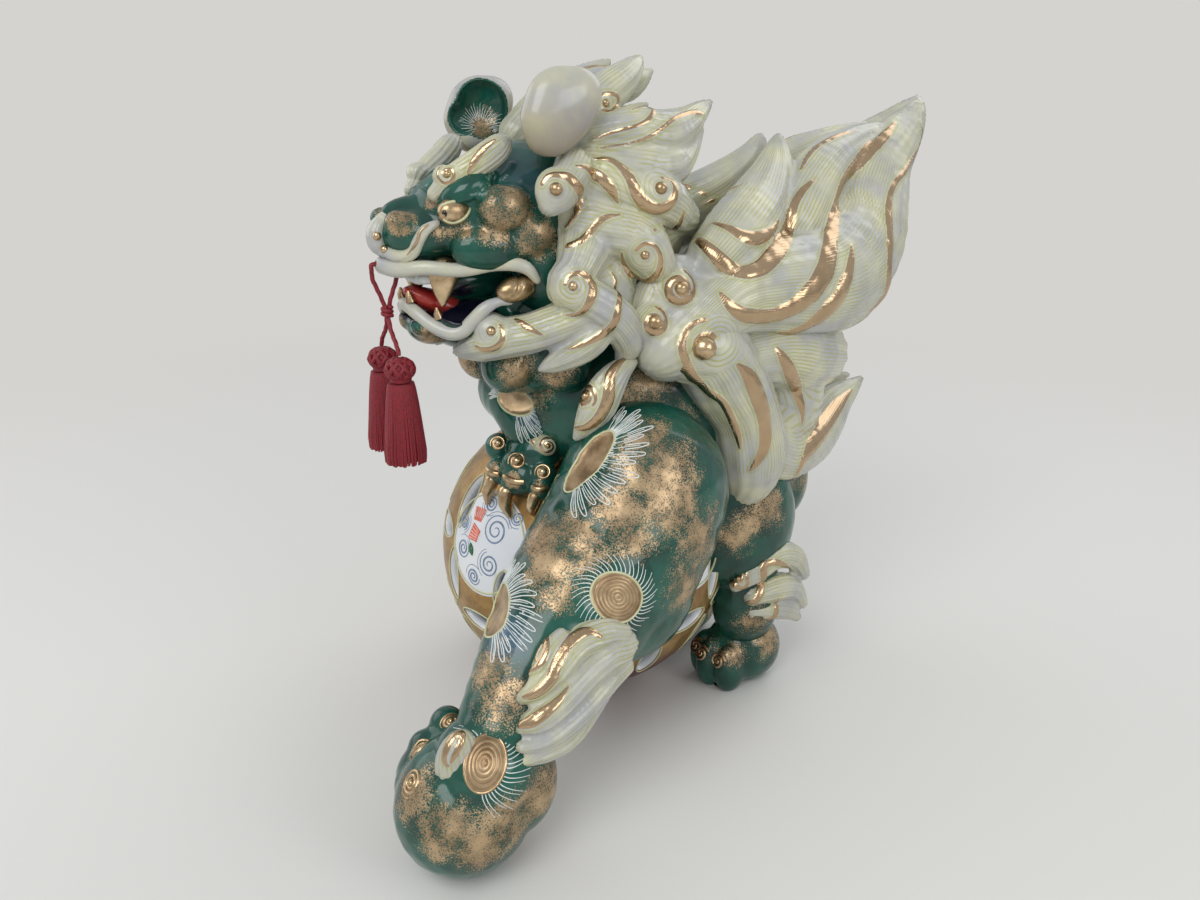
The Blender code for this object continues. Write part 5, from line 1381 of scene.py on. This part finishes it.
lower_roll = roll([(0, -95.5, 209, 2.6), (7, -93.6, 206.5, 2.8), (13, -89.5, 202, 2.9), (18.5, -84, 199, 3),
                   (21.5, -79.4, 199.8, 3), (23.5, -75.6, 204, 2.9), (25.5, -71, 208.8, 2.7),
                   (26.5, -66, 211, 2), (26.8, -60.5, 210.5, 1.3)])
lower = pressed("lower_lip_roll", both(lower_roll), 0.6, 4, cream)
stud_places = ((14.5, -86.5, 204.5), (-14.5, -86.5, 204.5), (5, -94.5, 210.5), (-5, -94.5, 210.5))
studs = [[(on_figure(x, y, z), 2.0 * MM), (on_figure(x, y - 0.6, z + 2.2), 1.5 * MM),
          (on_figure(x, y - 0.8, z + 4.4), 0.5 * MM)] for x, y, z in stud_places]
lower = joined([lower, round_lines("lower_teeth", studs, gilt, 5)], "lower_lip_roll")
finished(lower, ["lower_lip"])
nose_ridge = roll([(0, -100.6, 243.6, 2.8), (0, -104.8, 238.6, 3.8), (0, -105, 233.5, 3.7),
                   (0, -103, 230.8, 2.6)], (1.25, 1, 1))
nostril_roll = roll([(3, -103, 230.6, 2.6), (9, -98.3, 229, 2.8), (13.5, -95.2, 231, 2.5),
                     (16, -93.6, 235.4, 2.4), (17.3, -90.8, 239.7, 2.2), (18, -86.5, 242, 1.5)])
nose = pressed("nose_scroll_roll", nose_ridge + both(nostril_roll), 0.6, 4, cream)
skin = skin_of(nose)
nose_hairs = [[(381, 218, 1), (374, 230, 1), (377, 246, 1), (386, 260, 1)],
              [(398, 262, 1), (412, 256, 1), (418, 240, 1), (430, 226, 1)]]
furrowed(nose, [laid(skin, hair) for hair in nose_hairs], 0.9, 0.35)
nose_dots = ((377, 236, 1.7), (384, 249, 1.6), (392, 262, 0.9))
nose_edge = [(407, 255, 0.3), (416, 243, 0.6), (420, 232, 0.6), (429, 224, 0.3)]
dots = [knob(*seen(skin, u, v), r) for u, v, r in nose_dots]
nose = joined([nose, round_lines("dots", dots + [ridge(laid(skin, nose_edge), 0.3)], gilt, 4)],
              "nose_scroll_roll")
finished(nose, ["nose_scroll"])

# Eyes and brows
# Gilt almond eyes with a black pupil at the front and a cream rim, under rolled cream brows.
ink_black, tree, shader = shader_of("black_enamel")
spot = node(tree, "TexCoord").outputs["Object"]
cloud = node(tree, "TexNoise", {"Vector": spot, "Scale": 300, "Detail": 3}).outputs["Fac"]
tree.links.new(shades(tree, cloud, (0.004, 0.004, 0.005), (0.02, 0.017, 0.016)), shader.inputs["Base Color"])
shader.inputs["Roughness"].default_value = 0.15
eye = pressed("left_eyeball", [lump(20.5, -79.8, 246.3, 5.2, 7.8, 5.4, (0, 8, 18))], 0.4, 2, gilt)
skin = skin_of(eye)
pupil_place = (445, 213)
eye_rim = [(441, 206, 0.5), (450, 202, 0.6), (462, 201, 0.6), (473, 200, 0.5), (470, 209, 0.6),
           (463, 219, 0.7), (452, 223, 0.6), (443, 219, 0.5)]
under = flat_on(skin, *seen(skin, *pupil_place))[0]
pupil = [(*under(0.2 * math.sin(k), -1.9 + 3.8 * k / 8), 0.4 + 1.2 * math.sin(math.pi * k / 8))
         for k in range(9)]
eye = joined([eye, round_lines("pupil", [ridge(pupil, 0.75)], ink_black, 4),
              round_lines("eye_rim", [ridge(laid(skin, eye_rim), 0.2)], outline_slip, 3)], "left_eyeball")
finished(eye, ["left_eye"])
mirrored(eye, "right_eyeball", "right_eye")
brow_lock = [(13.5, -84.5, 252.5, 3.6), (17, -77.7, 258.4, 5.4), (21, -68.7, 264.5, 5.8),
             (24.5, -62.5, 269.5, 5.2), (26, -60, 272.5, 2)]
brow = pressed("left_brow_roll", roll(brow_lock, (0.85, 1, 1)) + [lump(15, -81.5, 259, 4.2, 4.5, 4.5)], 0.55,
               4, cream)
brow_curl = (447, 174, 4.2, 1.4, 120, 1, 0.8, 1.5)
brow_bands = [[(495, 140, 0.5), (485, 147, 1.3), (475, 159, 1.4), (468, 173, 0.5)]]
combed(brow, [brow_lock], [(seen(skin_of(brow), *brow_curl[:2])[0], 5.0)], 2.6, 0.35)
brow = gilded(brow, skin_of(brow), brow_bands, [brow_curl])
finished(brow, ["left_brow"])
mirrored(brow, "right_brow_roll", "right_brow")

# Ears
# Hollowed ears, plain cream outside and green inside, with a gold patch and trailed white rays in the hollow.
ear_clay = [lump(38.5, -43, 284, 9, 15.5, 15.5), lump(39.5, -36, 288.5, 8, 11, 11),
            lump(39, -50, 280, 8, 10.5, 10), lump(37.5, -47, 273, 8, 11, 8)]
ear = pressed("left_ear_cup", ear_clay, 1.0, 110, cream)
cup = pressed("cup", [lump(31, -44, 285, 9.5, 12, 12.5), lump(32, -52, 281, 6.5, 8, 7)], 0.9, 8)
cut_away(ear, cup, 0.7, 3)
inner = skin_of(cup)
ear.data.materials.append(green)
for face in ear.data.polygons:
    if inner.find_nearest(face.center)[3] < 1.0 * MM:
        face.material_index = 1
bpy.data.objects.remove(cup)
skin = skin_of(ear)
before_ear = on_figure(14, -47, 279)
hollow = skin.ray_cast(before_ear, (on_figure(35, -43, 277) - before_ear).normalized())[0]
spots = points_of(ear)
measured(ear, "sponge", np.clip(1.5 - np.linalg.norm(spots - np.array(hollow), axis=1) / 0.007, 0, 1))
# Painted shade: a faint brown over the outside of the ear, deepening towards the bottom.
ear_shade_amount = 0.12 + 0.5 * np.clip((on_figure(0, 0, 288).z - spots[:, 2]) / 0.020, 0, 1)
measured(ear, "painted_ear_shade", ear_shade_amount * (spots[:, 0] > on_figure(33, 0, 0).x))
RAYS = 26
rays = []
for k in range(RAYS):
    a = math.radians(-20 + 220 * k / (RAYS - 1))
    ray = []
    for s in range(6):
        r = (4.0 + 0.8 * math.sin(2.3 * k) + 1.15 * s) * MM
        start = hollow + Vector((-0.012, r * math.cos(a), r * math.sin(a)))
        hit = skin.ray_cast(start, (1, 0, 0))
        if hit[0] is not None and abs(hit[0].x - hollow.x) < 0.008:
            ray.append((hit[0], 0.22 * MM * (1 - 0.12 * s)))
    if len(ray) > 3:
        rays.append(ray)
ear = joined([ear, round_lines("rays", rays, white_enamel, 0)], "left_ear_cup")
finished(ear, ["left_ear"])
mirrored(ear, "right_ear_cup", "right_ear")

# Raised foreleg
# The right foreleg bends forward over the ball. Its paw has gilt knuckles and three broad claws that grip the
# rim.
shoulder = [lump(-38, -4, 138, 24, 28, 32)]
upper_arm = roll([(-34, -20, 152, 22), (-22, -36, 161, 19), (-8, -41, 160, 16), (0, -41, 150, 13)])
raised = pressed("right_foreleg_clay", shoulder + upper_arm, 1.2, 6, green)
raised_dabs = [(-50, 10, 140, 10, 24), (-30, -50, 175, 5, 16), (-44, -20, 120, 6, 18), (550, 412, 3, 8)]
sponged(raised, raised_dabs)
raised_roundel, raised_wash = (514, 401), (538, 408)
on_oval, rim = roundel(raised, *raised_roundel, 8.6, 5.6, -28, 1.8, 0.0)
trails = [ridge(line, 0.1) for line in fringe(on_oval, -70, 70, 13, 12.5, 1.5, True)]
trails += [ridge(line, 0.1) for line in fringe(on_oval, 150, 200, 5, 5, 1.5, True)]
tinted(raised, [seen(skin_of(raised), *raised_wash)[0]], 1.5, 9, 0.9)
raised = joined([raised, round_lines("rim", [ridge(rim, 0.2)], outline_slip, 2),
                 round_lines("trails", trails, white_enamel, 0)], "right_foreleg_clay")
finished(raised, ["right_foreleg"])
paw_clay = [lump(2, -39, 137, 14, 13, 12), lump(4, -47, 127, 12, 10, 10), lump(-10, -52, 137, 6.5),
            lump(-5, -54, 127, 6.5), lump(4, -50, 133, 6.5), lump(6, -52.5, 124.5, 6),
            lump(15, -41.5, 129.5, 6), lump(17.5, -44.5, 124, 5.5)]
paw = pressed("right_forepaw_clay", paw_clay, 0.7, 4, green)
paw_dabs = [(492, 470, 2, 5), (513, 481, 3, 5), (538, 488, 2, 4.5), (498, 430, 2, 5)]
sponged(paw, paw_dabs)
skin, bosses = skin_of(paw), []
knuckle_spirals = ((498, 443, 3.6), (517, 461, 4.0), (543, 472, 3.8))
for u, v, size in knuckle_spirals:
    line, middle, outward = winding(skin, u, v, size, 2.2, 200, -1, 0.9, 0.15)
    bosses += [ridge(line, 0.15), knob(middle, outward, size * 0.6)]
claw_sheaths = [[(486, 468, 1.4), (493, 473.5, 1.8), (500, 474, 1.4)],
                [(504, 476, 1.4), (514, 481.5, 1.8), (524, 482, 1.4)],
                [(532, 487, 1.4), (540, 489.5, 1.8), (548, 487, 1.4)]]
bosses += [ridge(laid(skin, sheath), 0.3) for sheath in claw_sheaths]
paw = joined([paw, round_lines("bosses", bosses, gilt, 4)], "right_forepaw_clay")
finished(paw, ["right_forepaw"])
claws = (("inner", [(-5, -58, 123, 3.4), (-5.5, -60, 118, 3.0), (-6, -60.5, 112, 1.2)]),
         ("middle", [(7, -56.5, 121, 3.6), (8, -57.5, 116, 3.2), (9.5, -56, 110, 1.3)]),
         ("outer", [(18.5, -48, 121, 3.2), (18.5, -49.5, 117.5, 2.8), (17.5, -49, 113, 1.2)]))
for word, path in claws:
    claw = pressed(word + "_claw_tip", roll(path), 0.4, 3, gilt)
    finished(claw, ["right_claw_" + word])
wrist_lock = [(-11, -46, 149, 2.5), (-2, -45.5, 146, 4.5), (7, -42.5, 143, 5), (14, -39, 142.5, 5)]
tuft = pressed("wrist_tuft_lock", roll(wrist_lock), 0.6, 4, cream)
wrist_curl = (548, 446, 4.6, 1.8, -90, 1, 0.9, 1.2)
wrist_bands = [[(512, 421, 0.5), (520, 425, 1.2), (529, 434, 1.2), (535, 446, 0.5)]]
combed(tuft, [wrist_lock], [(seen(skin_of(tuft), *wrist_curl[:2])[0], 5.5)], 3.0, 0.3)
tuft = gilded(tuft, skin_of(tuft), wrist_bands, [wrist_curl])
finished(tuft, ["right_wrist_tuft"])
